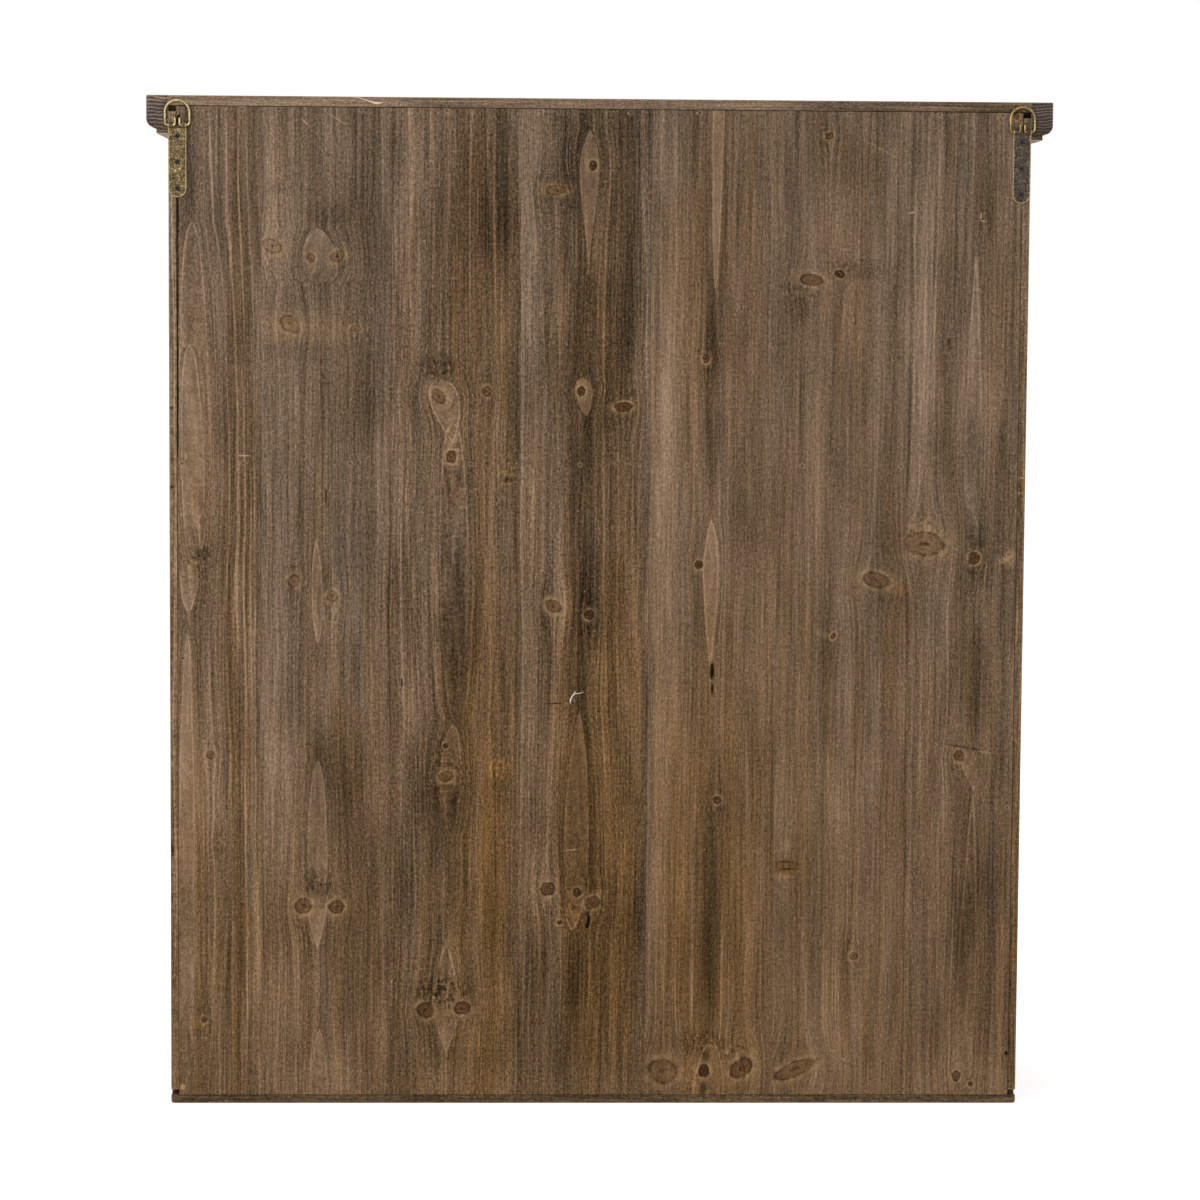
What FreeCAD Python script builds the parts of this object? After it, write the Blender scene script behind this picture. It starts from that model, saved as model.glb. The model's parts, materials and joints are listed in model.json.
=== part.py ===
import FreeCAD, Part
import math
import os

import Sketcher

# Wall-hung storage cabinet with a crown, a staved back, two framed doors and two ring hangers.
# Millimetres. +Z is up, the doors face -Y and the staved back faces +Y.
# The origin is the centre of the bottom of the whole cabinet's box.

SIZES = {
    # Carcass boards. A lip is what a rabbet leaves of a board's edge, as seen from behind.
    "body_width": 710.0,
    "body_height": 838.0,
    "body_depth": 190.0,
    "side_thickness": 15.0,
    "side_lip": 6.2,
    "top_lip": 8.2,
    "bottom_lip": 6.6,
    "end_notch": 5.0,
    "bottom_corner_round": 2.4,
    # Back of glued staves, numbered from the left as seen from behind.
    "back_thickness": 9.0,
    "back_gap": 0.5,
    "first_stave_width": 69.0,
    "stave_width": 107.0,
    # Crown moulding
    "crown_projection": 18.0,
    "crown_top_round": 1.2,
    "crown_fascia": 19.0,
    "crown_ovolo": 7.6,
    "crown_quirk": 0.8,
    "crown_fillet": 4.6,
    # Rail behind the crown, and the shelves
    "top_rail_height": 45.0,
    "shelf_thickness": 12.0,
    "shelf_setback": 3.0,
    "shelf_housing": 5.0,
    "fixed_shelf_level": 531.0,
    "loose_shelf_level": 262.0,
    "loose_shelf_gap": 1.0,
    # Shelf pins: a peg in the side and a flat tongue under the shelf
    "peg_radius": 2.5,
    "peg_depth": 8.0,
    "tongue_reach": 9.0,
    "tongue_width": 10.0,
    "tongue_thickness": 1.6,
    "pin_inset": 30.0,
    # Doors
    "door_thickness": 18.0,
    "door_gap": 2.0,
    "centre_gap": 2.5,
    "stile_width": 52.0,
    "door_rail_width": 56.0,
    "groove_width": 6.0,
    "groove_depth": 8.0,
    "tenon_fit": 0.1,
    "tenon_end_gap": 0.5,
    "frame_arris": 1.0,
    # Raised and fielded door panels
    "panel_fit": 0.2,
    "panel_end_gap": 1.0,
    "panel_margin": 1.5,
    "panel_bevel": 26.0,
    "panel_step": 1.4,
    "panel_setback": 1.6,
    # Knobs, turned about their screws
    "knob_projection": 26.0,
    "knob_radius": 14.0,
    "knob_foot_radius": 8.5,
    "knob_foot_height": 2.4,
    "knob_neck_radius": 4.6,
    "knob_neck_length": 6.0,
    "knob_rim_height": 16.5,
    "knob_rim_thickness": 2.2,
    "knob_level": 405.0,
    "knob_bore_depth": 12.0,
    "knob_screw_radius": 2.0,
    "knob_screw_fit": 0.05,
    "knob_screw_hole_gap": 0.3,
    "knob_screw_bite": 10.0,
    "pan_head_radius": 4.0,
    "pan_head_height": 2.2,
    # Butt hinges
    "leaf_thickness": 1.0,
    "leaf_gap": 0.2,
    "leaf_width": 15.0,
    "hinge_height": 50.0,
    "knuckle_radius": 2.4,
    "knuckle_end_gap": 0.3,
    "knuckle_face_gap": 0.3,
    "pin_radius": 1.2,
    "pin_running_gap": 0.05,
    "pin_head_radius": 2.0,
    "pin_head_height": 1.0,
    "hinge_inset": 92.0,
    "hinge_screw_spacing": 30.0,
    "hinge_hole_radius": 1.3,
    "hinge_screw_length": 11.0,
    "screw_head_gap": 0.1,
    # Magnetic catch and strike plates
    "catch_length": 50.0,
    "catch_depth": 16.0,
    "catch_height": 13.0,
    "catch_round": 2.0,
    "magnet_width": 14.0,
    "magnet_height": 9.0,
    "magnet_depth": 6.0,
    "magnet_proud": 0.5,
    "magnet_offset": 13.0,
    "strike_width": 18.0,
    "strike_height": 11.0,
    "strike_thickness": 1.2,
    "strike_gap": 0.3,
    # Ring hangers
    "strap_width": 14.8,
    "strap_thickness": 1.2,
    "strap_length": 58.7,
    "ring_bar_drop": 24.4,
    "wire_radius": 0.95,
    "eye_running_gap": 0.05,
    "eye_spacing": 7.2,
    "notch_depth": 2.6,
    "ring_width": 22.0,
    "ring_rise": 21.3,
    "ring_corner_radius": 2.6,
    "ring_end_spacing": 3.8,
    "ring_end_bend": 1.6,
    "ring_end_rise": 6.0,
    "strap_hole_drop": 8.6,
    "strap_hole_spacing": 21.4,
    "strap_hole_radius": 1.4,
    "strap_sink_depth": 0.9,
    "strap_screw_length": 16.0,
    # Brads of flat wire
    "brad_width": 1.3,
    "brad_thickness": 1.0,
    "brad_length": 18.0,
    # How far cutting tools run past the faces that they cut
    "overrun": 4.0,
}

SCREW_CORE_SHARE = 0.85
SCREW_TIP_SHARE = 0.3
STRAP_HOLE_COUNT = 3
BRAD_TOP_SHARES = (0.033, 0.085, 0.127, 0.222, 0.321, 0.430, 0.534, 0.614, 0.717, 0.788, 0.893, 0.967)
BRAD_SHELF_SHARES = (0.086, 0.210, 0.350, 0.478, 0.603, 0.738, 0.854)
BRAD_BOTTOM_SHARES = (0.055, 0.215, 0.385, 0.560, 0.715, 0.870)
BRAD_SIDE_SHARES = (0.055, 0.300, 0.447, 0.640, 0.850)
HANDS = {"left": -1, "right": 1}
TOLERANCE = 0.01
SUBPARTS = []

doc = FreeCAD.newDocument("StorageCabinet")
sheet = doc.addObject("Spreadsheet::Sheet", "Sizes")


class Length:
    """A size of the sheet, or a sum of such sizes: its value in millimetres and its formula."""

    def __init__(self, value, formula):
        self.value = value
        self.formula = formula

    def join(self, sign, other, value):
        return Length(value, "(%s %s %s)" % (self.formula, sign, as_length(other).formula))

    def __add__(self, other):
        return self.join("+", other, self.value + as_length(other).value)

    def __sub__(self, other):
        return self.join("-", other, self.value - as_length(other).value)

    def __mul__(self, other):
        return self.join("*", other, self.value * as_length(other).value)

    def __truediv__(self, other):
        return self.join("/", other, self.value / as_length(other).value)

    def __neg__(self):
        return self * -1

    def __rmul__(self, other):
        return self * other


def as_length(item):
    return item if isinstance(item, Length) else Length(float(item), "%g" % item)


class Sizes:
    """The sheet's sizes by name."""

    def __init__(self, values):
        for row, (name, value) in enumerate(values.items(), start=1):
            sheet.set("A%d" % row, name)
            sheet.set("B%d" % row, str(value))
            sheet.setAlias("B%d" % row, name)
            setattr(self, name, Length(value, "Sizes." + name))


size = Sizes(SIZES)
doc.recompute()
zero = Length(0.0, "0")

# Places that several sub-parts share
half_width = size.body_width / 2
top_thickness = size.top_lip + size.end_notch
bottom_thickness = size.bottom_lip + size.end_notch
eye_inner_radius = size.wire_radius + size.eye_running_gap
eye_radius = eye_inner_radius + size.strap_thickness
back_y = (size.body_depth + size.knob_projection - 2 * eye_radius) / 2
front_y = back_y - size.body_depth
shoulder_y = back_y - size.back_thickness
inner_half = half_width - size.side_thickness
hinge_gap = 2 * size.leaf_thickness + size.leaf_gap
axle_x = inner_half - hinge_gap / 2
axle_y = front_y - size.knuckle_face_gap - size.knuckle_radius
door_back_y = front_y + size.door_thickness
rail_bottom = size.body_height - top_thickness - size.top_rail_height
door_bottom = bottom_thickness + size.door_gap
door_height = rail_bottom - size.door_gap - door_bottom
shelf_front_y = door_back_y + size.shelf_setback
hanger_x = half_width - size.strap_width / 2
bar_z = size.body_height - size.ring_bar_drop


# Helpers for primitives and booleans

def place(item, at, axis=(0, 0, 1)):
    """Puts an object's origin at a point whose three coordinates are lengths, its own Z along axis."""
    turn = FreeCAD.Rotation(FreeCAD.Vector(0, 0, 1), FreeCAD.Vector(*axis))
    item.Placement = FreeCAD.Placement(FreeCAD.Vector(*(part.value for part in at)), turn)
    for name, part in zip("xyz", at):
        item.setExpression("Placement.Base." + name, part.formula)
    return item


def sized(kind, name, **lengths):
    item = doc.addObject(kind, name)
    for prop, length in lengths.items():
        item.setExpression(prop, length.formula)
    return item


def box(name, low, high):
    item = sized("Part::Box", name, Length=high[0] - low[0], Width=high[1] - low[1], Height=high[2] - low[2])
    return place(item, low)


def cylinder(name, radius, height, at, axis=(0, 0, 1)):
    return place(sized("Part::Cylinder", name, Radius=radius, Height=height), at, axis)


def cone(name, radius, end_radius, height, at, axis=(0, 0, 1)):
    item = sized("Part::Cone", name, Radius1=radius, Radius2=end_radius, Height=height)
    return place(item, at, axis)


def fuse(name, items):
    item = doc.addObject("Part::MultiFuse", name)
    item.Shapes = items
    item.Refine = True
    return item


def cut(name, base, tools):
    item = doc.addObject("Part::Cut", name)
    item.Base = base
    item.Tool = tools[0] if len(tools) == 1 else fuse(name + "_tools", tools)
    item.Refine = True
    return item


def group(name, items):
    """Separate solids of one kind that share a node."""
    item = doc.addObject("Part::Compound", name)
    item.Links = items
    return item


def span(hand, near, far):
    """Low and high X of a piece between two distances from the middle, on the side of hand."""
    return (near, far) if hand > 0 else (-far, -near)


def along(at, axis, distance):
    return tuple(part + distance * step if step else part for part, step in zip(at, axis))


# Helpers for bodies, sketches and their features

def new_body(name, at=(zero, zero, zero)):
    return place(doc.addObject("PartDesign::Body", name), at)


def sketch_on(body, role, offset=None):
    """Sketch on one of the body's own origin planes, or a distance along that plane's normal."""
    planes = {feature.Role: feature for feature in body.Origin.OriginFeatures}
    sketch = body.newObject("Sketcher::SketchObject", body.Name + "_sketch")
    sketch.AttachmentSupport = [(planes[role], "")]
    sketch.MapMode = "FlatFace"
    if offset is not None:
        sketch.setExpression("AttachmentOffset.Base.z", offset.formula)
    return sketch


def pin_down(sketch, kind, geometry, point, length):
    """Ties one coordinate of a sketch's point to a length."""
    constraint = Sketcher.Constraint(kind, -1, 1, geometry, point, length.value)
    sketch.setExpression("Constraints[%d]" % sketch.addConstraint(constraint), length.formula)


def arc_between(start, end, middle, turn):
    circle = Part.Circle(middle, FreeCAD.Vector(0, 0, 1), (start - middle).Length)
    first, last = (start, end) if turn > 0 else (end, start)
    angles = [math.atan2(point.y - middle.y, point.x - middle.x) for point in (first, last)]
    return Part.ArcOfCircle(circle, *angles)


def outline(sketch, corners, arcs=None, closed=True):
    """Line through the corners, straight except on the numbered sides in arcs.

    Each of those gives the arc's middle and its turn, 1 anticlockwise or -1 clockwise.
    """
    arcs = arcs or {}
    points = [FreeCAD.Vector(x.value, y.value, 0) for x, y in corners]
    sides = len(points) if closed else len(points) - 1
    for side in range(sides):
        start = points[side]
        end = points[(side + 1) % len(points)]
        if side in arcs:
            (x, y), turn = arcs[side]
            sketch.addGeometry(arc_between(start, end, FreeCAD.Vector(x.value, y.value, 0), turn), False)
        else:
            sketch.addGeometry(Part.LineSegment(start, end), False)
    starts = [2 if side in arcs and arcs[side][1] < 0 else 1 for side in range(sides)]
    for side in range(sides):
        before = (side - 1) % sides
        if closed or side:
            sketch.addConstraint(Sketcher.Constraint("Coincident", before, 3 - starts[before],
                                                     side, starts[side]))
        pin_down(sketch, "DistanceX", side, starts[side], corners[side][0])
        pin_down(sketch, "DistanceY", side, starts[side], corners[side][1])
    if not closed:
        pin_down(sketch, "DistanceX", sides - 1, 3 - starts[-1], corners[-1][0])
        pin_down(sketch, "DistanceY", sides - 1, 3 - starts[-1], corners[-1][1])
    for side, (middle, turn) in arcs.items():
        chord = points[(side + 1) % len(points)] - points[side]
        if abs(chord.x) >= abs(chord.y):
            pin_down(sketch, "DistanceY", side, 3, middle[1])
        else:
            pin_down(sketch, "DistanceX", side, 3, middle[0])
    return sketch


def rectangle(sketch, low, high):
    return outline(sketch, [low, (high[0], low[1]), high, (low[0], high[1])])


def circle_at(sketch, x, y, radius):
    centre = FreeCAD.Vector(x.value, y.value, 0)
    index = sketch.addGeometry(Part.Circle(centre, FreeCAD.Vector(0, 0, 1), radius.value), False)
    constraint = sketch.addConstraint(Sketcher.Constraint("Radius", index, radius.value))
    sketch.setExpression("Constraints[%d]" % constraint, radius.formula)
    pin_down(sketch, "DistanceX", index, 3, x)
    pin_down(sketch, "DistanceY", index, 3, y)
    return sketch


def feature(body, kind, sketch, length=None, reverse=False, middle=False):
    item = body.newObject("PartDesign::" + kind, body.Name + "_" + kind.lower())
    item.Profile = sketch
    if length is not None:
        item.setExpression("Length", length.formula)
        item.Midplane = middle
    item.Reversed = reverse
    return item


def dress(body, kind, length, wanted):
    """Fillet or Chamfer on the body's edges whose middle the function wanted accepts."""
    doc.recompute()
    base = body.Tip
    names = []
    for index, edge in enumerate(base.Shape.Edges, start=1):
        if wanted(edge, edge.CenterOfMass):
            names.append("Edge%d" % index)
    item = body.newObject("PartDesign::" + kind, body.Name + "_" + kind.lower())
    item.Base = (base, names)
    item.setExpression("Radius" if kind == "Fillet" else "Size", length.formula)
    return item


def near(value, length):
    return abs(value - length.value) < TOLERANCE


def keep(item, label):
    """Names a finished sub-part."""
    item.Label = label
    SUBPARTS.append(item)
    return item


# Carcass

def side_board(side, hand, fasteners):
    """Board with a rabbet for the back, a housing for the fixed shelf and holes for the shelf pins."""
    body = new_body("side_blank_" + side, (zero, zero, bottom_thickness))
    outer = half_width * hand
    lip = (half_width - size.side_lip) * hand
    inner = inner_half * hand
    outline(sketch_on(body, "XY_Plane"), [
        (outer, front_y),
        (outer, back_y),
        (lip, back_y),
        (lip, shoulder_y),
        (inner, shoulder_y),
        (inner, front_y),
    ])
    feature(body, "Pad", body.Group[-1], size.body_height - top_thickness - bottom_thickness)
    low_x, high_x = span(hand, inner_half - size.overrun, inner_half + size.shelf_housing)
    shelf_top = size.fixed_shelf_level + size.shelf_thickness
    housing = box("housing_" + side, (low_x, shelf_front_y, size.fixed_shelf_level),
                  (high_x, shoulder_y + size.overrun, shelf_top))
    tools = [housing] + fasteners
    for number, y in enumerate(pin_places()):
        at = ((inner_half - size.overrun) * hand, y, peg_level)
        tools.append(cylinder("pin_hole_%s_%d" % (side, number), size.peg_radius,
                              size.peg_depth + size.overrun, at, (hand, 0, 0)))
    keep(cut("side_board_cut_" + side, body, tools), "side_board_" + side)


peg_level = size.loose_shelf_level - size.tongue_thickness - size.peg_radius


def pin_places():
    return shelf_front_y + size.pin_inset, shoulder_y - size.pin_inset


def top_board(fasteners):
    body = new_body("top_body")
    outline(sketch_on(body, "YZ_Plane"), [
        (front_y, size.body_height - top_thickness),
        (shoulder_y, size.body_height - top_thickness),
        (shoulder_y, size.body_height - size.top_lip),
        (back_y, size.body_height - size.top_lip),
        (back_y, size.body_height),
        (front_y, size.body_height),
    ])
    feature(body, "Pad", body.Group[-1], size.body_width, middle=True)
    keep(cut("top_board_cut", body, fasteners), "top_board")


def bottom_board(fasteners):
    body = new_body("bottom_body")
    outline(sketch_on(body, "YZ_Plane"), [
        (front_y, zero),
        (back_y, zero),
        (back_y, size.bottom_lip),
        (shoulder_y, size.bottom_lip),
        (shoulder_y, bottom_thickness),
        (front_y, bottom_thickness),
    ])
    feature(body, "Pad", body.Group[-1], size.body_width, middle=True)
    dress(body, "Fillet", size.bottom_corner_round,
          lambda edge, at: near(abs(at.x), half_width) and near(at.z, zero))
    keep(cut("bottom_board_cut", body, fasteners), "bottom_board")


def top_rail():
    keep(box("top_rail_box", (-inner_half, front_y, rail_bottom),
             (inner_half, door_back_y, size.body_height - top_thickness)), "top_rail")


def staves(fasteners):
    """Boards glued edge to edge; the first and last are cut to fit the rabbets."""
    panel_half = half_width - size.side_lip - size.back_gap
    edges = [panel_half, panel_half - size.first_stave_width]
    while (edges[-1] - size.stave_width).value > -panel_half.value:
        edges.append(edges[-1] - size.stave_width)
    edges.append(-panel_half)
    top = size.body_height - size.top_lip - size.back_gap
    for number in range(len(edges) - 1):
        low = (edges[number + 1], shoulder_y, size.bottom_lip + size.back_gap)
        name = "back_stave_%d" % (number + 1)
        keep(cut(name + "_cut", box(name + "_box", low, (edges[number], back_y, top)), fasteners), name)


def brads():
    """Brads driven through the back, flush with it, into the boards behind."""
    places = []
    for share in BRAD_TOP_SHARES:
        places.append((half_width - size.body_width * share,
                       size.body_height - size.top_lip - size.end_notch / 2))
    for share in BRAD_SHELF_SHARES:
        places.append((half_width - size.body_width * share,
                       size.fixed_shelf_level + size.shelf_thickness / 2))
    for share in BRAD_BOTTOM_SHARES:
        places.append((half_width - size.body_width * share, size.bottom_lip + size.end_notch / 2))
    for hand in HANDS.values():
        for share in BRAD_SIDE_SHARES:
            x = half_width - (size.side_lip + size.side_thickness) / 2
            places.append((x * hand, size.body_height * share))
    across = size.brad_width / 2
    up = size.brad_thickness / 2
    items = []
    for number, (x, z) in enumerate(places):
        point = (x - across, back_y - size.brad_length, z - up)
        items.append(box("brad_%d" % number, point, (x + across, back_y, z + up)))
    return keep(group("brad_group", items), "back_brads")


# Crown

def crown_profile(sketch, hand):
    """Fascia over an ovolo, a quirk and a fillet; hand says which way it projects."""
    reach = size.crown_projection
    fillet_reach = reach - size.crown_ovolo - size.crown_quirk
    ovolo_bottom = -(size.crown_fascia + size.crown_ovolo)
    bottom = ovolo_bottom - size.crown_fillet
    turn = -hand
    outline(sketch, [
        (zero, zero),
        ((reach - size.crown_top_round) * hand, zero),
        (reach * hand, -size.crown_top_round),
        (reach * hand, -size.crown_fascia),
        ((reach - size.crown_ovolo) * hand, ovolo_bottom),
        (fillet_reach * hand, ovolo_bottom),
        (fillet_reach * hand, bottom),
        (zero, bottom),
    ], {
        1: (((reach - size.crown_top_round) * hand, -size.crown_top_round), turn),
        3: (((reach - size.crown_ovolo) * hand, -size.crown_fascia), turn),
    })


def mitre(body, corner, x_hand, keep_hand):
    """Cuts the end at 45 degrees, from the body's corner outwards."""
    past = size.crown_projection + size.overrun
    x, y = corner
    start = (x - size.overrun * x_hand, y + size.overrun)
    end = (x + past * x_hand, y - past)
    waste = (end[0], start[1]) if keep_hand else (start[0], end[1])
    outline(sketch_on(body, "XY_Plane"), [start, end, waste])
    height = size.crown_fascia + size.crown_ovolo + size.crown_fillet
    feature(body, "Pocket", body.Group[-1], height + size.overrun)


def crown_front():
    body = new_body("crown_front_body", (zero, front_y, size.body_height))
    crown_profile(sketch_on(body, "YZ_Plane"), -1)
    feature(body, "Pad", body.Group[-1], size.body_width + 2 * size.crown_projection, middle=True)
    for hand in HANDS.values():
        mitre(body, (half_width * hand, zero), hand, True)
    keep(body, "crown_front")


def crown_return(side, hand):
    body = new_body("crown_return_body_" + side, (half_width * hand, back_y, size.body_height))
    crown_profile(sketch_on(body, "XZ_Plane"), hand)
    feature(body, "Pad", body.Group[-1], size.body_depth + size.crown_projection)
    mitre(body, (zero, -size.body_depth), hand, False)
    keep(body, "crown_return_" + side)


# Shelves and their pins

def shelves(fasteners):
    reach = inner_half + size.shelf_housing
    board = box("fixed_shelf_box", (-reach, shelf_front_y, size.fixed_shelf_level),
                (reach, shoulder_y, size.fixed_shelf_level + size.shelf_thickness))
    keep(cut("fixed_shelf_cut", board, fasteners), "fixed_shelf")
    reach = inner_half - size.loose_shelf_gap
    keep(box("loose_shelf_box", (-reach, shelf_front_y, size.loose_shelf_level),
             (reach, shoulder_y, size.loose_shelf_level + size.shelf_thickness)), "loose_shelf")


def shelf_pins():
    items = []
    for side, hand in HANDS.items():
        for number, y in enumerate(pin_places()):
            name = "pin_%s_%d" % (side, number)
            at = ((inner_half + size.peg_depth) * hand, y, peg_level)
            peg = cylinder(name + "_peg", size.peg_radius, size.peg_depth + size.tongue_thickness,
                           at, (-hand, 0, 0))
            low_x, high_x = span(hand, inner_half - size.tongue_reach, inner_half)
            tongue = box(name + "_tongue",
                         (low_x, y - size.tongue_width / 2, size.loose_shelf_level - size.tongue_thickness),
                         (high_x, y + size.tongue_width / 2, size.loose_shelf_level))
            low_x, high_x = span(hand, inner_half - size.tongue_thickness, inner_half)
            plate = box(name + "_plate",
                        (low_x, y - size.tongue_width / 2, peg_level - size.tongue_width / 2),
                        (high_x, y + size.tongue_width / 2, size.loose_shelf_level))
            items.append(fuse(name, [peg, tongue, plate]))
    keep(group("shelf_pin_group", items), "shelf_pins")


# Doors. Their pieces are drawn round the middle plane of the door's thickness.

door_middle_y = front_y + size.door_thickness / 2
rail_levels = {
    "bottom": door_bottom,
    "middle": door_bottom + (door_height - size.door_rail_width) / 2,
    "top": door_bottom + door_height - size.door_rail_width,
}


def stile(side, hand, place_name, outer, inner, holed, fasteners):
    """Upright of a door frame, grooved along its inner edge for the rails and panels."""
    body = new_body("%s_stile_body_%s" % (place_name, side), (zero, door_middle_y, door_bottom))
    half = size.door_thickness / 2
    groove = size.groove_width / 2
    inward = 1 if outer.value < inner.value else -1
    deep = inner - size.groove_depth * inward
    outline(sketch_on(body, "XY_Plane"), [
        (outer * hand, -half),
        (inner * hand, -half),
        (inner * hand, -groove),
        (deep * hand, -groove),
        (deep * hand, groove),
        (inner * hand, groove),
        (inner * hand, half),
        (outer * hand, half),
    ])
    feature(body, "Pad", body.Group[-1], door_height)
    if holed:
        radius = size.knob_screw_radius + size.knob_screw_hole_gap
        circle_at(sketch_on(body, "XZ_Plane"), knob_x * hand, size.knob_level - door_bottom, radius)
        feature(body, "Pocket", body.Group[-1], size.door_thickness + size.overrun, middle=True)
    dress(body, "Chamfer", size.frame_arris,
          lambda edge, at: near(at.y, -half) and near(abs(at.x), inner))
    item = cut("%s_stile_cut_%s" % (place_name, side), body, fasteners) if fasteners else body
    keep(item, "door_%s_%s_stile" % (side, place_name))


knob_x = size.centre_gap / 2 + size.stile_width / 2
opening_near = size.centre_gap / 2 + size.stile_width
opening_far = inner_half - hinge_gap - size.stile_width
opening_width = opening_far - opening_near
opening_centre = (opening_far + opening_near) / 2


def door_rail(side, hand, level):
    """Cross rail of a door frame: grooved for its panels, with stub tenons in the stiles' grooves."""
    centre_z = rail_levels[level] + size.door_rail_width / 2
    body = new_body("%s_rail_body_%s" % (level, side), (opening_centre * hand, door_middle_y, centre_z))
    half = size.door_thickness / 2
    groove = size.groove_width / 2
    edge = size.door_rail_width / 2
    deep = edge - size.groove_depth
    corners = [(-half, -edge), (half, -edge), (half, edge), (-half, edge)]
    if level != "bottom":
        corners[1:1] = [(-groove, -edge), (-groove, -deep), (groove, -deep), (groove, -edge)]
    if level != "top":
        corners[-1:-1] = [(groove, edge), (groove, deep), (-groove, deep), (-groove, edge)]
    outline(sketch_on(body, "YZ_Plane"), corners)
    feature(body, "Pad", body.Group[-1], opening_width, middle=True)
    tenon = groove - size.tenon_fit
    low = -edge if level == "bottom" else -deep
    high = edge if level == "top" else deep
    rectangle(sketch_on(body, "YZ_Plane"), (-tenon, low), (tenon, high))
    tenon_reach = size.groove_depth - size.tenon_end_gap
    feature(body, "Pad", body.Group[-1], opening_width + 2 * tenon_reach, middle=True)
    inner_edges = {"bottom": (edge,), "middle": (edge, -edge), "top": (-edge,)}[level]
    dress(body, "Chamfer", size.frame_arris,
          lambda item, at: near(at.y, -half) and any(near(at.z, z) for z in inner_edges))
    keep(body, "door_%s_%s_rail" % (side, level))


def door_panel(side, hand, name, below, above):
    """Raised and fielded panel: a tongue all round, a bevel, and a field that stands up by a step."""
    low = rail_levels[below] + size.door_rail_width
    height = rail_levels[above] - low
    middle = (opening_centre * hand, door_middle_y, low + height / 2)
    body = new_body("%s_panel_body_%s" % (name, side), middle)
    tongue = size.groove_width / 2 - size.panel_fit
    hidden = size.groove_depth - size.panel_end_gap
    half = (opening_width / 2 + hidden, height / 2 + hidden)
    rectangle(sketch_on(body, "XZ_Plane"), (-half[0], -half[1]), half)
    feature(body, "Pad", body.Group[-1], 2 * tongue, middle=True)
    rise = size.door_thickness / 2 - size.panel_setback - size.panel_step - tongue
    foot = (opening_width / 2 - size.panel_margin, height / 2 - size.panel_margin)
    field = (foot[0] - size.panel_bevel, foot[1] - size.panel_bevel)
    base = rectangle(sketch_on(body, "XZ_Plane", tongue), (-foot[0], -foot[1]), foot)
    crest = rectangle(sketch_on(body, "XZ_Plane", tongue + rise), (-field[0], -field[1]), field)
    loft = body.newObject("PartDesign::AdditiveLoft", body.Name + "_bevel")
    loft.Profile = base
    loft.Sections = [crest]
    loft.Ruled = True
    rectangle(sketch_on(body, "XZ_Plane", tongue), (-field[0], -field[1]), field)
    feature(body, "Pad", body.Group[-1], rise + size.panel_step)
    keep(body, "door_%s_%s_panel" % (side, name))


def door(side, hand, screws):
    outer = inner_half - hinge_gap
    stile(side, hand, "hinge", outer, opening_far, False, [screws])
    stile(side, hand, "lock", size.centre_gap / 2, opening_near, True, [])
    for level in rail_levels:
        door_rail(side, hand, level)
    door_panel(side, hand, "lower", "bottom", "middle")
    door_panel(side, hand, "upper", "middle", "top")


# Knobs

def knob(side, hand):
    """Turned knob: foot, neck, hollow under the rim and a domed face, bored for its screw."""
    body = new_body("knob_body_" + side, (knob_x * hand, front_y, size.knob_level))
    neck_end = size.knob_foot_height + size.knob_neck_length
    flare = size.knob_rim_height - neck_end
    dome_rise = size.knob_projection - size.knob_rim_height - size.knob_rim_thickness
    dome_radius = (dome_rise * dome_rise + size.knob_radius * size.knob_radius) / (2 * dome_rise)
    flare_width = size.knob_radius - size.knob_neck_radius
    flare_radius = (flare * flare + flare_width * flare_width) / (2 * flare)
    outline(sketch_on(body, "YZ_Plane"), [
        (zero, zero),
        (zero, size.knob_foot_radius),
        (-size.knob_foot_height, size.knob_foot_radius - size.knob_foot_height / 2),
        (-size.knob_foot_height, size.knob_neck_radius),
        (-neck_end, size.knob_neck_radius),
        (-size.knob_rim_height, size.knob_radius),
        (-(size.knob_rim_height + size.knob_rim_thickness), size.knob_radius),
        (-size.knob_projection, zero),
    ], {
        4: ((flare_radius - size.knob_rim_height, size.knob_radius), -1),
        6: ((dome_radius - size.knob_projection, zero), 1),
    })
    turning = feature(body, "Revolution", body.Group[-1])
    turning.ReferenceAxis = (body.Group[-2], ["H_Axis"])
    circle_at(sketch_on(body, "XZ_Plane"), zero, zero, size.knob_screw_radius + size.knob_screw_fit)
    feature(body, "Pocket", body.Group[-1], size.knob_bore_depth, reverse=True)
    keep(body, "knob_" + side)


def knob_screw(side, hand):
    """Pan-head screw from inside the door into the knob."""
    at = (knob_x * hand, door_back_y, size.knob_level)
    head = cone("knob_screw_head_" + side, size.pan_head_radius, size.pan_head_radius * SCREW_CORE_SHARE,
                size.pan_head_height, at, (0, 1, 0))
    shank = cylinder("knob_screw_shank_" + side, size.knob_screw_radius,
                     size.door_thickness + size.knob_screw_bite, at, (0, -1, 0))
    keep(fuse("knob_screw_fuse_" + side, [head, shank]), "knob_screw_" + side)


# Hinges. The barrel stands in front of the doors, the leaves lie in the gap beside each door.

def hinge_levels():
    return {
        "lower": door_bottom + size.hinge_inset - size.hinge_height / 2,
        "upper": door_bottom + door_height - size.hinge_inset - size.hinge_height / 2,
    }


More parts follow.
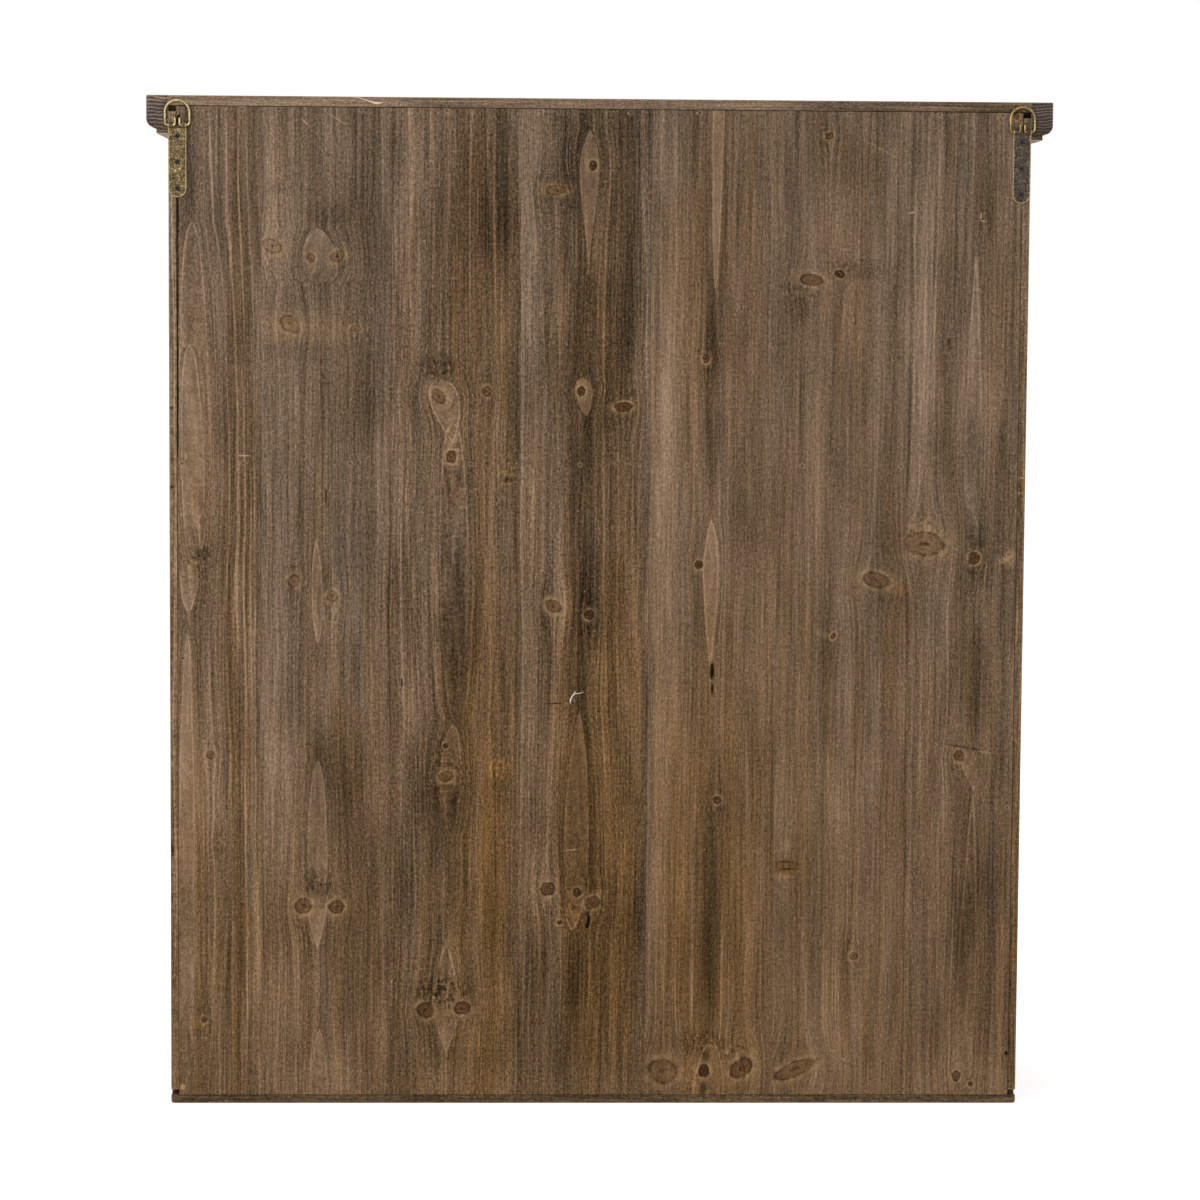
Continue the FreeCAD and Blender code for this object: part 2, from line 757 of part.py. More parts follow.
def hinge_leaf(side, hand, level, on_door):
    """Leaf with its knuckles round the pin and two screw holes, sunk right through it."""
    kind = "door" if on_door else "frame"
    name = "%s_%s_%s" % (kind, side, level)
    body = new_body("leaf_body_" + name, (axle_x * hand, axle_y, hinge_levels()[level]))
    outwards = -hand if on_door else hand
    inner_face = size.leaf_gap / 2 * outwards
    outer_face = (size.leaf_gap / 2 + size.leaf_thickness) * outwards
    plate_end = size.knuckle_radius + size.knuckle_face_gap + size.leaf_width
    rectangle(sketch_on(body, "XY_Plane"), (inner_face, zero), (outer_face, plate_end))
    feature(body, "Pad", body.Group[-1], size.hinge_height)
    circle_at(sketch_on(body, "XY_Plane"), zero, zero, size.knuckle_radius)
    feature(body, "Pad", body.Group[-1], size.hinge_height)
    third = size.hinge_height / 3
    gap = size.knuckle_end_gap
    if on_door:
        notches = [(zero, third + gap / 2), (third * 2 - gap / 2, third + gap / 2)]
    else:
        notches = [(third - gap / 2, third + gap)]
    clear = size.knuckle_radius + size.knuckle_face_gap
    for start, length in notches:
        rectangle(sketch_on(body, "XY_Plane", start), (-clear, -clear), (clear, clear))
        feature(body, "Pocket", body.Group[-1], length, reverse=True)
    circle_at(sketch_on(body, "XY_Plane"), zero, zero, size.pin_radius + size.pin_running_gap)
    feature(body, "Pocket", body.Group[-1], size.hinge_height, reverse=True)
    tools = []
    for number, (at, axis) in enumerate(leaf_screw_places(side, hand, level, on_door)):
        back = tuple(-step for step in axis)
        hole_name = "leaf_hole_%s_%d" % (name, number)
        mouth = size.hinge_hole_radius + size.leaf_thickness
        tools.append(cylinder(hole_name, size.hinge_hole_radius, size.leaf_thickness + 2 * size.overrun,
                              along(at, back, size.overrun), axis))
        tools.append(cone(hole_name + "_sink", mouth, size.hinge_hole_radius,
                          size.leaf_thickness, at, axis))
    label = "hinge_%s_leaf_%s_%s" % (kind, side, level)
    keep(cut("leaf_cut_" + name, body, tools), label)


def leaf_screw_places(side, hand, level, on_door):
    """Where a leaf's screws start, on its face towards the other leaf, and the way they point."""
    outwards = -hand if on_door else hand
    x = axle_x * hand + size.leaf_gap / 2 * outwards
    y = front_y + size.leaf_width / 2
    middle = hinge_levels()[level] + size.hinge_height / 2
    step = size.hinge_screw_spacing / 2
    return [((x, y, middle - step), (outwards, 0, 0)), ((x, y, middle + step), (outwards, 0, 0))]


def sunk_screw(name, at, axis, radius, sink, length):
    """Countersunk wood screw: a conical head on a core with six sides."""
    head_radius = radius + sink - size.screw_head_gap
    core = radius * SCREW_CORE_SHARE
    head_end = core * SCREW_TIP_SHARE
    head = cone(name + "_head", head_radius, head_end, head_radius - head_end, at, axis)
    start = (head_radius - core) / 2
    shank = sized("Part::Prism", name + "_core", Circumradius=core, Height=length - start)
    place(shank, along(at, axis, start), axis)
    return fuse(name, [head, shank])


def hinge_pins():
    """Four pins, each under a domed head on the top knuckle."""
    items = []
    for side, hand in HANDS.items():
        for level, start in hinge_levels().items():
            name = "hinge_pin_%s_%s" % (side, level)
            at = (axle_x * hand, axle_y, start)
            shaft = cylinder(name + "_shaft", size.pin_radius, size.hinge_height, at)
            head = cone(name + "_head", size.pin_head_radius, size.pin_head_radius * SCREW_CORE_SHARE,
                        size.pin_head_height, along(at, (0, 0, 1), size.hinge_height))
            items.append(fuse(name, [shaft, head]))
    keep(group("hinge_pin_group", items), "hinge_pins")


def hinge_screws(label, sides, on_door):
    items = []
    for side in sides:
        for level in hinge_levels():
            for number, (at, axis) in enumerate(leaf_screw_places(side, HANDS[side], level, on_door)):
                items.append(sunk_screw("%s_%s_%s_%d" % (label, side, level, number), at, axis,
                                        size.hinge_hole_radius, size.leaf_thickness,
                                        size.hinge_screw_length))
    return keep(group(label + "_group", items), label)


# Catch

catch_top = size.fixed_shelf_level
catch_front_y = door_back_y + size.strike_thickness + size.strike_gap + size.magnet_proud
magnet_middle = catch_top - size.catch_height / 2


def magnet_box(name, hand, grow):
    low_x, high_x = span(hand, size.magnet_offset - size.magnet_width / 2,
                         size.magnet_offset + size.magnet_width / 2)
    half = size.magnet_height / 2
    return box(name, (low_x, catch_front_y - size.magnet_proud - grow, magnet_middle - half),
               (high_x, catch_front_y + size.magnet_depth, magnet_middle + half))


def magnetic_catch():
    """Double catch under the fixed shelf: a rounded case with a magnet for each door."""
    body = new_body("catch_body", (zero, catch_front_y, catch_top - size.catch_height))
    half = size.catch_length / 2
    rectangle(sketch_on(body, "XY_Plane"), (-half, zero), (half, size.catch_depth))
    feature(body, "Pad", body.Group[-1], size.catch_height)
    dress(body, "Fillet", size.catch_round,
          lambda edge, at: near(abs(at.x), half) and near(at.z, size.catch_height / 2))
    sockets = [magnet_box("magnet_socket_" + side, hand, size.overrun) for side, hand in HANDS.items()]
    keep(cut("catch_cut", body, sockets), "catch_case")
    magnets = [magnet_box("magnet_" + side, hand, zero) for side, hand in HANDS.items()]
    keep(group("magnet_group", magnets), "catch_magnets")


def strike_plate(side, hand):
    low_x, high_x = span(hand, size.magnet_offset - size.strike_width / 2,
                         size.magnet_offset + size.strike_width / 2)
    keep(box("strike_box_" + side, (low_x, door_back_y, magnet_middle - size.strike_height / 2),
             (high_x, door_back_y + size.strike_thickness, magnet_middle + size.strike_height / 2)),
         "strike_plate_" + side)


# Ring hangers

def strap_holes():
    return [-(size.strap_hole_drop + size.strap_hole_spacing * number) for number in range(STRAP_HOLE_COUNT)]


def hanger_strap(side, hand):
    """Strap whose top is rolled round the ring's bar, notched in the middle for the ring's two ends."""
    body = new_body("strap_body_" + side, (hanger_x * hand, back_y, bar_z))
    half = size.strap_width / 2
    outline(sketch_on(body, "XZ_Plane"), [
        (half, zero),
        (-half, zero),
        (-half, half - size.strap_length),
        (half, half - size.strap_length),
    ], {2: ((zero, half - size.strap_length), 1)})
    feature(body, "Pad", body.Group[-1], size.strap_thickness, reverse=True)
    outline(sketch_on(body, "YZ_Plane"), [
        (zero, zero),
        (eye_radius, -eye_radius),
        (eye_radius, -eye_inner_radius),
        (size.strap_thickness, zero),
    ], {
        0: ((eye_radius, zero), -1),
        2: ((eye_radius, zero), 1),
    })
    feature(body, "Pad", body.Group[-1], size.strap_width, middle=True)
    notch = size.eye_spacing / 2
    rectangle(sketch_on(body, "XZ_Plane"), (-notch, -size.notch_depth), (notch, eye_radius + size.overrun))
    feature(body, "Pocket", body.Group[-1], 2 * (2 * eye_radius + size.overrun), middle=True)
    holes = sketch_on(body, "XZ_Plane")
    for z in strap_holes():
        circle_at(holes, zero, z, size.strap_hole_radius)
    feature(body, "Pocket", holes, 2 * (size.strap_thickness + size.overrun), middle=True)
    dress(body, "Chamfer", size.strap_sink_depth,
          lambda edge, at: near(at.y, size.strap_thickness) and near(at.x, zero)
          and any(near(at.z, z) for z in strap_holes()))
    keep(body, "hanger_strap_" + side)


def hanger_ring(side, hand):
    """One bent wire: up from between the eyes, out through one eye, round the D and back in."""
    body = new_body("ring_body_" + side, (hanger_x * hand, back_y + eye_radius, bar_z))
    bend = size.ring_end_bend
    corner = size.ring_corner_radius
    end_x = size.ring_end_spacing / 2
    wide = size.ring_width / 2 - size.wire_radius
    shoulder = size.ring_rise - size.wire_radius - wide
    path = outline(sketch_on(body, "XZ_Plane"), [
        (-end_x, size.ring_end_rise),
        (-end_x, bend),
        (-(end_x + bend), zero),
        (-(wide - corner), zero),
        (-wide, corner),
        (-wide, shoulder),
        (wide, shoulder),
        (wide, corner),
        (wide - corner, zero),
        (end_x + bend, zero),
        (end_x, bend),
        (end_x, size.ring_end_rise),
    ], {
        1: ((-(end_x + bend), bend), -1),
        3: ((-(wide - corner), corner), -1),
        5: ((zero, shoulder), -1),
        7: ((wide - corner, corner), -1),
        9: ((end_x + bend, bend), -1),
    }, closed=False)
    section = circle_at(sketch_on(body, "XY_Plane", size.ring_end_rise), -end_x, zero, size.wire_radius)
    wire = body.newObject("PartDesign::AdditivePipe", body.Name + "_wire")
    wire.Profile = section
    wire.Spine = (path, ["Edge%d" % (number + 1) for number in range(len(path.Geometry))])
    keep(body, "hanger_ring_" + side)


def hanger_screws():
    items = []
    for side, hand in HANDS.items():
        for number, z in enumerate(strap_holes()):
            at = (hanger_x * hand, back_y + size.strap_thickness, bar_z + z)
            items.append(sunk_screw("hanger_screw_%s_%d" % (side, number), at, (0, -1, 0),
                                    size.strap_hole_radius, size.strap_sink_depth, size.strap_screw_length))
    return keep(group("hanger_screw_group", items), "hanger_screws")


# Assembly. Wood that a brad or screw goes into is cut to its shape.

brad_set = brads()
hanger_screw_set = hanger_screws()
frame_screw_set = hinge_screws("hinge_frame_screws", HANDS, False)
top_board([brad_set])
bottom_board([brad_set])
top_rail()
staves([brad_set, hanger_screw_set])
crown_front()
shelves([brad_set])
shelf_pins()
magnetic_catch()
hinge_pins()
for side, hand in HANDS.items():
    side_board(side, hand, [brad_set, hanger_screw_set, frame_screw_set])
    crown_return(side, hand)
    hanger_strap(side, hand)
    hanger_ring(side, hand)
    door(side, hand, hinge_screws("hinge_door_screws_" + side, [side], True))
    knob(side, hand)
    knob_screw(side, hand)
    strike_plate(side, hand)
    for level in hinge_levels():
        hinge_leaf(side, hand, level, False)
        hinge_leaf(side, hand, level, True)

# Check and export

doc.recompute()
broken = [item.Name for item in doc.Objects if "Invalid" in item.State or "Error" in item.State]
if broken:
    raise RuntimeError("failed objects: " + ", ".join(broken))
os.makedirs("parts", exist_ok=True)
for item in SUBPARTS:
    if item.Shape.isNull() or not item.Shape.isValid() or not item.Shape.Solids:
        raise RuntimeError("bad shape: " + item.Label)
    item.Shape.exportStep(os.path.join("parts", item.Label + ".step"))
    print("%-28s %2d solids %12.1f mm3" % (item.Label, len(item.Shape.Solids), item.Shape.Volume))
print(len(SUBPARTS), "sub-parts")
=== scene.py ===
import json
import math
from collections import namedtuple
from functools import reduce

import bmesh
import bpy
from mathutils import Matrix, Vector


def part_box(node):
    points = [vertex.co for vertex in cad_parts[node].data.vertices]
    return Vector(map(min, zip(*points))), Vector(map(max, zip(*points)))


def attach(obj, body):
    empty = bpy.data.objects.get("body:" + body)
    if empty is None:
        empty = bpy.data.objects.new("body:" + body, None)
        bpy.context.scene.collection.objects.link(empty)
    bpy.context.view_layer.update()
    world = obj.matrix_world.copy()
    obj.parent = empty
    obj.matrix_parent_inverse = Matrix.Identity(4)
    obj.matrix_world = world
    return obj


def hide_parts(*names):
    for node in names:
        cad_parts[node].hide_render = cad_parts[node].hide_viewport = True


# Wall-hung storage cabinet seen from behind: brown-stained knotty fir, antiqued ring hangers.
# Blender's metres; sizes named ..._MM and every material pattern are in millimetres.

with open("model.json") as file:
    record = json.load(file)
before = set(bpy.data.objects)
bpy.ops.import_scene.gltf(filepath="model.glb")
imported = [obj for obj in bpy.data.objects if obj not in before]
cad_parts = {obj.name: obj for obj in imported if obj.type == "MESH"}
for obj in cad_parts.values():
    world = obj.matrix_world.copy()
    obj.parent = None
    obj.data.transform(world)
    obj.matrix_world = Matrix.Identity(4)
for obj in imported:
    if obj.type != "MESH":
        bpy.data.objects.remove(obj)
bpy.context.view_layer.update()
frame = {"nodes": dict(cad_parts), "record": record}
MM = 0.001
WELD_REACH = 0.00001
X, Y, Z = (1, 0, 0), (0, 1, 0), (0, 0, 1)

BACK_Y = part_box("back_stave_1")[1].y
NODES = frame["nodes"]
BODIES = frame["record"]["behaviour"]["bodies"]


def box_mm(node):
    return [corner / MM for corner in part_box(node)]


def add_object(name, data):
    thing = bpy.data.objects.new(name, data)
    bpy.context.scene.collection.objects.link(thing)
    return thing


def empty_tree(owner):
    """The node tree of a material or world, with its first nodes taken out."""
    owner.use_nodes = True
    owner.node_tree.nodes.clear()
    return owner.node_tree


# Camera, as the photograph was taken

PHOTO_SIZE = 1200
SENSOR_MM = 36.0
LENS_MM = 108.24
CAMERA_DISTANCE = 3.0
CAMERA_TARGET = Vector((-0.0016, BACK_Y, 0.4246))
CAMERA_AZIMUTH = math.radians(178.198)
CAMERA_ELEVATION = math.radians(4.796)
CAMERA_ROLL = math.radians(0.394)

FLAT_SHARE = math.cos(CAMERA_ELEVATION)
VIEW_BACK = Vector((math.sin(CAMERA_AZIMUTH) * FLAT_SHARE, -math.cos(CAMERA_AZIMUTH) * FLAT_SHARE,
                    math.sin(CAMERA_ELEVATION)))
LEVEL_RIGHT = Vector(Z).cross(VIEW_BACK).normalized()
LEVEL_UP = VIEW_BACK.cross(LEVEL_RIGHT)
VIEW_RIGHT = LEVEL_RIGHT * math.cos(CAMERA_ROLL) + LEVEL_UP * math.sin(CAMERA_ROLL)
VIEW_UP = VIEW_BACK.cross(VIEW_RIGHT)
CAMERA_PLACE = CAMERA_TARGET + VIEW_BACK * CAMERA_DISTANCE


def make_camera():
    data = bpy.data.cameras.new("photo_camera")
    data.sensor_width = SENSOR_MM
    data.lens = LENS_MM
    camera = add_object("photo_camera", data)
    turn = Matrix((VIEW_RIGHT, VIEW_UP, VIEW_BACK)).transposed()
    camera.matrix_world = Matrix.Translation(CAMERA_PLACE) @ turn.to_4x4()
    bpy.context.scene.camera = camera


def on_back(pixel_x, pixel_y):
    """Point of the back's plane that a pixel of the photograph shows."""
    focal = LENS_MM / SENSOR_MM * PHOTO_SIZE
    half = PHOTO_SIZE / 2
    ray = VIEW_RIGHT * (pixel_x - half) + VIEW_UP * (half - pixel_y) - VIEW_BACK * focal
    return CAMERA_PLACE + ray * ((BACK_Y - CAMERA_PLACE.y) / ray.y)


# Fields: numbers that vary over a surface, as outputs of nodes

class Field:
    """One number's node output, with arithmetic that adds nodes to its tree."""

    def __init__(self, tree, socket):
        self.tree = tree
        self.socket = socket

    def math(self, operation, *values, clamp=False):
        return made(self.tree, "ShaderNodeMath", self, *values, operation=operation, use_clamp=clamp)

    def __add__(self, other):
        return self.math("ADD", other)

    def __sub__(self, other):
        return self.math("SUBTRACT", other)

    def __mul__(self, other):
        return self.math("MULTIPLY", other)

    def __rsub__(self, other):
        return self.math("MULTIPLY_ADD", -1.0, other)

    def __abs__(self):
        return self.math("ABSOLUTE")

    def least(self, other):
        return self.math("MINIMUM", other)

    def most(self, other):
        return self.math("MAXIMUM", other)

    def clamped(self):
        return self.math("ADD", 0.0, clamp=True)

    def decay(self):
        """1 at zero, falling by e for each whole number."""
        return self.math("MULTIPLY", -1.0).math("EXPONENT")

    def bell(self, width):
        part = self * (1 / width)
        return (part * part).decay()

    def smooth(self, start, end):
        """0 at start and 1 at end, in either order, with soft ends."""
        return made(self.tree, "ShaderNodeMapRange", self, start, end, interpolation_type="SMOOTHSTEP")


def feed(tree, slot, value):
    if isinstance(value, Field):
        tree.links.new(value.socket, slot)
    else:
        slot.default_value = value


def made(tree, kind, *values, out=0, **settings):
    """Output of a new node that has these settings and these values in its first inputs."""
    node = tree.nodes.new(kind)
    for key, value in settings.items():
        setattr(node, key, value)
    for slot, value in zip(node.inputs, values):
        feed(tree, slot, value)
    return Field(tree, node.outputs[out])


def colour(red, green, blue):
    """Linear colour of an 8-bit screen colour."""
    parts = [part / 255 for part in (red, green, blue)]
    return tuple(part / 12.92 if part <= 0.04045 else ((part + 0.055) / 1.055) ** 2.4 for part in parts) + (1.0,)


def darker(shade, share):
    return tuple(part * share for part in shade[:3]) + (1.0,)


class Paint:
    """A material under construction."""

    def __init__(self, name):
        self.material = bpy.data.materials.new(name)
        self.tree = empty_tree(self.material)
        self.place = made(self.tree, "ShaderNodeTexCoord", out="Object")

    def along(self, direction, offset=0.0):
        """Millimetres along a direction of the object's own frame."""
        field = made(self.tree, "ShaderNodeVectorMath", self.place, Vector(direction) / MM, out="Value",
                     operation="DOT_PRODUCT")
        return field + offset if offset else field

    def axes(self):
        """Millimetres along the three axes of the object's own frame."""
        return [self.along(direction) for direction in (X, Y, Z)]

    def point(self, x, y, z=0.0):
        return made(self.tree, "ShaderNodeCombineXYZ", x, y, z)

    def local(self, point, centre, reach, turn=0.0):
        """The point seen from an ellipse: its centre at zero and its edge at length 1."""
        return made(self.tree, "ShaderNodeMapping", point, (*centre, 0), (0, 0, turn), (*reach, 1),
                    vector_type="TEXTURE")

    def far(self, point, mark):
        """How far a point is from a mark's middle: 1 at the edge of its ellipse."""
        return self.length(self.local(point, mark[:2], mark[2:4], math.radians(mark.tilt)))

    def length(self, vector):
        return made(self.tree, "ShaderNodeVectorMath", vector, out="Value", operation="LENGTH")

    def first(self, vector):
        return made(self.tree, "ShaderNodeSeparateXYZ", vector)

    def noise(self, x, y, z, scale_x, scale_y, detail=2.0, roughness=0.55):
        """Cloudy noise about zero, mostly within 1 either way."""
        place = self.point(x * scale_x, y * scale_y, z)
        cloudy = made(self.tree, "ShaderNodeTexNoise", place, 0.0, 1.0, detail, roughness, out="Fac")
        return cloudy.math("MULTIPLY_ADD", 4.0, -2.0)

    def layer(self, x, y, seed, layer):
        return self.noise(x, y, seed + layer.seed, layer.across, layer.along, layer.detail, layer.roughness)

    def ramp(self, field, stops):
        node = self.tree.nodes.new("ShaderNodeValToRGB")
        feed(self.tree, node.inputs[0], field)
        points = node.color_ramp.elements
        while len(points) < len(stops):
            points.new(1.0)
        for point, (place, shade) in zip(points, stops):
            point.position = place
            point.color = shade
        return Field(self.tree, node.outputs[0])

    def mix(self, share, first, second, blend="MIX"):
        node = self.tree.nodes.new("ShaderNodeMix")
        node.data_type = "RGBA"
        node.blend_type = blend
        for number, value in ((0, share), (6, first), (7, second)):
            feed(self.tree, node.inputs[number], value)
        return Field(self.tree, node.outputs[2])

    def finish(self, shade, roughness, height=None, depth=0.0002, metallic=0.0, specular=0.35):
        shader = self.tree.nodes.new("ShaderNodeBsdfPrincipled")
        for slot, value in (("Base Color", shade), ("Roughness", roughness), ("Metallic", metallic),
                            ("Specular IOR Level", specular)):
            feed(self.tree, shader.inputs[slot], value)
        if height is not None:
            bump = self.tree.nodes.new("ShaderNodeBump")
            bump.inputs["Distance"].default_value = depth
            feed(self.tree, bump.inputs["Height"], height)
            self.tree.links.new(bump.outputs[0], shader.inputs["Normal"])
        output = self.tree.nodes.new("ShaderNodeOutputMaterial")
        self.tree.links.new(shader.outputs[0], output.inputs["Surface"])
        return self.material


# Wood

# A knot: centre, half size across and along, tilt in degrees, how dark its wood is, and the dark cloud round it.
Knot = namedtuple("Knot", "x y rx ry tilt dark cloud", defaults=(0.0, 0.6, 0.4))
# A flame, a pointed figure in the grain: its tip, its length below the tip (above it if negative), half width, how
# blunt its tip and its foot are, how pale it is, how far its foot lies to one side, and how much it fades.
Flame = namedtuple("Flame", "x y length width tip foot pale lean fade", defaults=(0.6, 0.5, 0.5, 0.0, 1.0))
# A soft patch: centre, half size, how much lighter it is, how much warmer, its tilt in degrees, and how curly.
Patch = namedtuple("Patch", "x y rx ry tone warm tilt curl", defaults=(0.0, 0.0, 0.0, 0.0))
# A board's own character: its tone, its warmth, the strength and spacing of its pale lines, and its contrast.
Look = namedtuple("Look", "tone warm rings ring_width contrast", defaults=(1.0,))
# A layer of noise: its seed, cycles per mm across and along, detail and roughness, and its share in the whole.
Layer = namedtuple("Layer", "seed across along detail roughness share", defaults=(1.0, 0.55, 1.0))

WANDER = Layer(0.0, 0.012, 0.0034, share=-2.0)
RIPPLE = Layer(3.1, 0.07, 0.016, share=-0.7)
FINE = Layer(5.0, 0.62, 0.013, 1.0, 0.7, 0.18)
DASH = Layer(7.0, 0.66, 0.17, 1.0, 0.7, 0.14)
SPECK = Layer(21.0, 0.56, 0.46, 2.0, 0.75, 0.30)
STREAK = Layer(9.0, 0.25, 0.0042, 2.0, 0.6, 0.165)
BAND = Layer(13.0, 0.06, 0.0026, share=0.10)
BLOTCH = Layer(17.0, 0.022, 0.009, 2.0, share=0.12)
HUE = Layer(25.0, 0.085, 0.0036, share=0.42)
RING_SHARE = Layer(31.0, 0.035, 0.0022, 0.0)
CRUMB = Layer(61.0, 0.34, 0.22, 3.0, 0.8)
PORES = Layer(23.0, 0.6, 0.03, 2.0, 0.7)
CRUMPLE = Layer(41.0, 0.13, 0.11, 2.0, 0.6)
GRIT = Layer(43.0, 0.52, 0.52, 2.0, 0.75)
DUST_SPOTS = Layer(51.0, 0.5, 0.42, 0.0)

WOOD_STOPS = [
    (0.00, colour(20, 14, 9)),
    (0.20, colour(52, 43, 31)),
    (0.40, colour(80, 67, 50)),
    (0.60, colour(111, 92, 71)),
    (0.80, colour(141, 117, 91)),
    (1.00, colour(172, 145, 115)),
]
END_STOPS = [(0.0, colour(54, 46, 44)), (0.5, colour(104, 91, 82)), (1.0, colour(162, 147, 133))]
TINTS = [(0.0, colour(240, 241, 251)), (1.0, colour(255, 230, 184))]
# Pale colour of the painted reflection on the crown returns' undersides
UNDERSIDE_REFLECTION = colour(206, 196, 190)
WORN_WOOD = colour(150, 124, 96)
KNOT_HEART = colour(38, 25, 15)
KNOT_DARK = colour(54, 28, 9)
KNOT_RED = colour(108, 66, 33)
KNOT_HALO = colour(164, 132, 94)
PIT_RIM = colour(158, 132, 102)
PIT_DARK = colour(44, 36, 29)
# Painted shade in the sunk bevels of the door panels
RECESS_SHADE = colour(40, 30, 22)
DUST = colour(190, 168, 138)

HEIGHT_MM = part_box("top_board")[1].z / MM
DEPTH_SHARE = 0.73          # how far the pattern slides across for each millimetre of depth
EASING = 0.6                # how much of the flow round knots the finest lines follow
LONG_MM = 25.0              # patches longer than this follow the grain
WARMTH = 0.08
HALO_AT, HALO_WIDTH = 1.32, 0.22        # of a knot's half size, as are the next three
OUTLINE_AT, OUTLINE_WIDTH = 0.98, 0.13
HEART_SIZE = 0.34
KNOT_RINGS = 3.1


def stained(paint, tone):
    """The stain's colour for a tone. Only dark marks reach the black end of its stops."""
    return paint.ramp(tone.math("MULTIPLY_ADD", 0.8, 0.2), WOOD_STOPS)


def flow_round_knots(paint, flat, shift, knots):
    """The shift of the grain's lines, led round the knots, and the dark clouds there."""
    clouds = []
    for knot in knots:
        reach = (knot.rx * 1.4 + 3.5, knot.ry * 2.4 + 9.0)
        near = paint.local(flat, knot[:2], reach)
        far = paint.length(near)
        bell = (far * far).decay()
        shift = shift + paint.first(near) * bell * (reach[0] * 0.84)
        if knot.cloud:
            clouds.append(bell * knot.cloud)
    return shift, clouds


def flow_round_flames(s, v, ripple, shift, flames):
    """The shift of the grain's lines, led round the flames, and the flames' pale insides and outlines."""
    fills, rims = [], []
    for flame in flames:
        down = (v * -1.0 + flame.y) * (1 / flame.length)
        share = down.clamped()
        left = 1 - share
        peak = flame.tip / (flame.tip + flame.foot)
        most = peak ** flame.tip * (1 - peak) ** flame.foot
        half = share.math("POWER", flame.tip) * left.math("POWER", flame.foot) * (flame.width / most)
        aside = s - (share * flame.lean + flame.x)
        edge = abs(aside) - half
        core = aside.least(half).most(half * -1.0)
        shift = shift + core * (edge.most(0.0) * (1 / (1.1 * flame.width + 2.0))).decay()
        outside = edge + abs(down - share) * (abs(flame.length) * 0.4) + ripple * 0.5
        strength = left if flame.fade == 1.0 else share * -flame.fade + 1.0
        fills.append(outside.smooth(0.5, -0.7) * (strength * flame.pale))
        rims.append(outside.bell(0.75) * strength)
    return shift, fills, rims


def with_knots(paint, shade, s, v, flat, seed, knots):
    """The shade with the knots' own wood, their pale halos and their dark outlines."""
    ellipses = [paint.far(flat, knot) for knot in knots]
    darkest = reduce(Field.most, [far.smooth(1.9, 1.2) * knot.dark for far, knot in zip(ellipses, knots)])
    crumple = paint.layer(s, v, seed, CRUMPLE)
    grit = paint.layer(s, v, seed, GRIT)
    nearest = reduce(Field.least, ellipses) + crumple * 0.08 + grit * 0.05
    halo = (nearest - HALO_AT).bell(HALO_WIDTH) * (crumple + grit * 0.6).smooth(-0.7, 0.8) * (darkest * 0.4 + 0.22)
    around = nearest.smooth(2.6, 1.2) * ((grit + crumple).smooth(-1.4, 1.4) * 0.30)
    body = nearest.smooth(1.10, 0.92)
    rings = (nearest * (2 * math.pi * KNOT_RINGS) + crumple * 2.0).math("SINE").smooth(-0.2, 1.0)
    shade = paint.mix(halo + around, shade, KNOT_HALO)
    wooden = paint.mix(darkest, KNOT_RED, KNOT_DARK)
    wooden = paint.mix(rings * 0.10, wooden, KNOT_HALO)
    wooden = paint.mix(grit.smooth(0.25, 0.8) * 0.55, wooden, KNOT_HALO)
    wooden = paint.mix(grit.smooth(0.1, -0.5) * 0.65, wooden, KNOT_HEART)
    shade = paint.mix(body * (darkest * 0.72 + 0.22), shade, wooden)
    outline = (nearest - OUTLINE_AT).bell(OUTLINE_WIDTH) * crumple.smooth(0.9, -0.6) * (darkest * 0.35 + 0.6)
    shade = paint.mix(outline, shade, KNOT_HEART)
    return paint.mix((nearest + grit * 0.12).smooth(HEART_SIZE, 0.12) * 0.55, shade, KNOT_HEART)


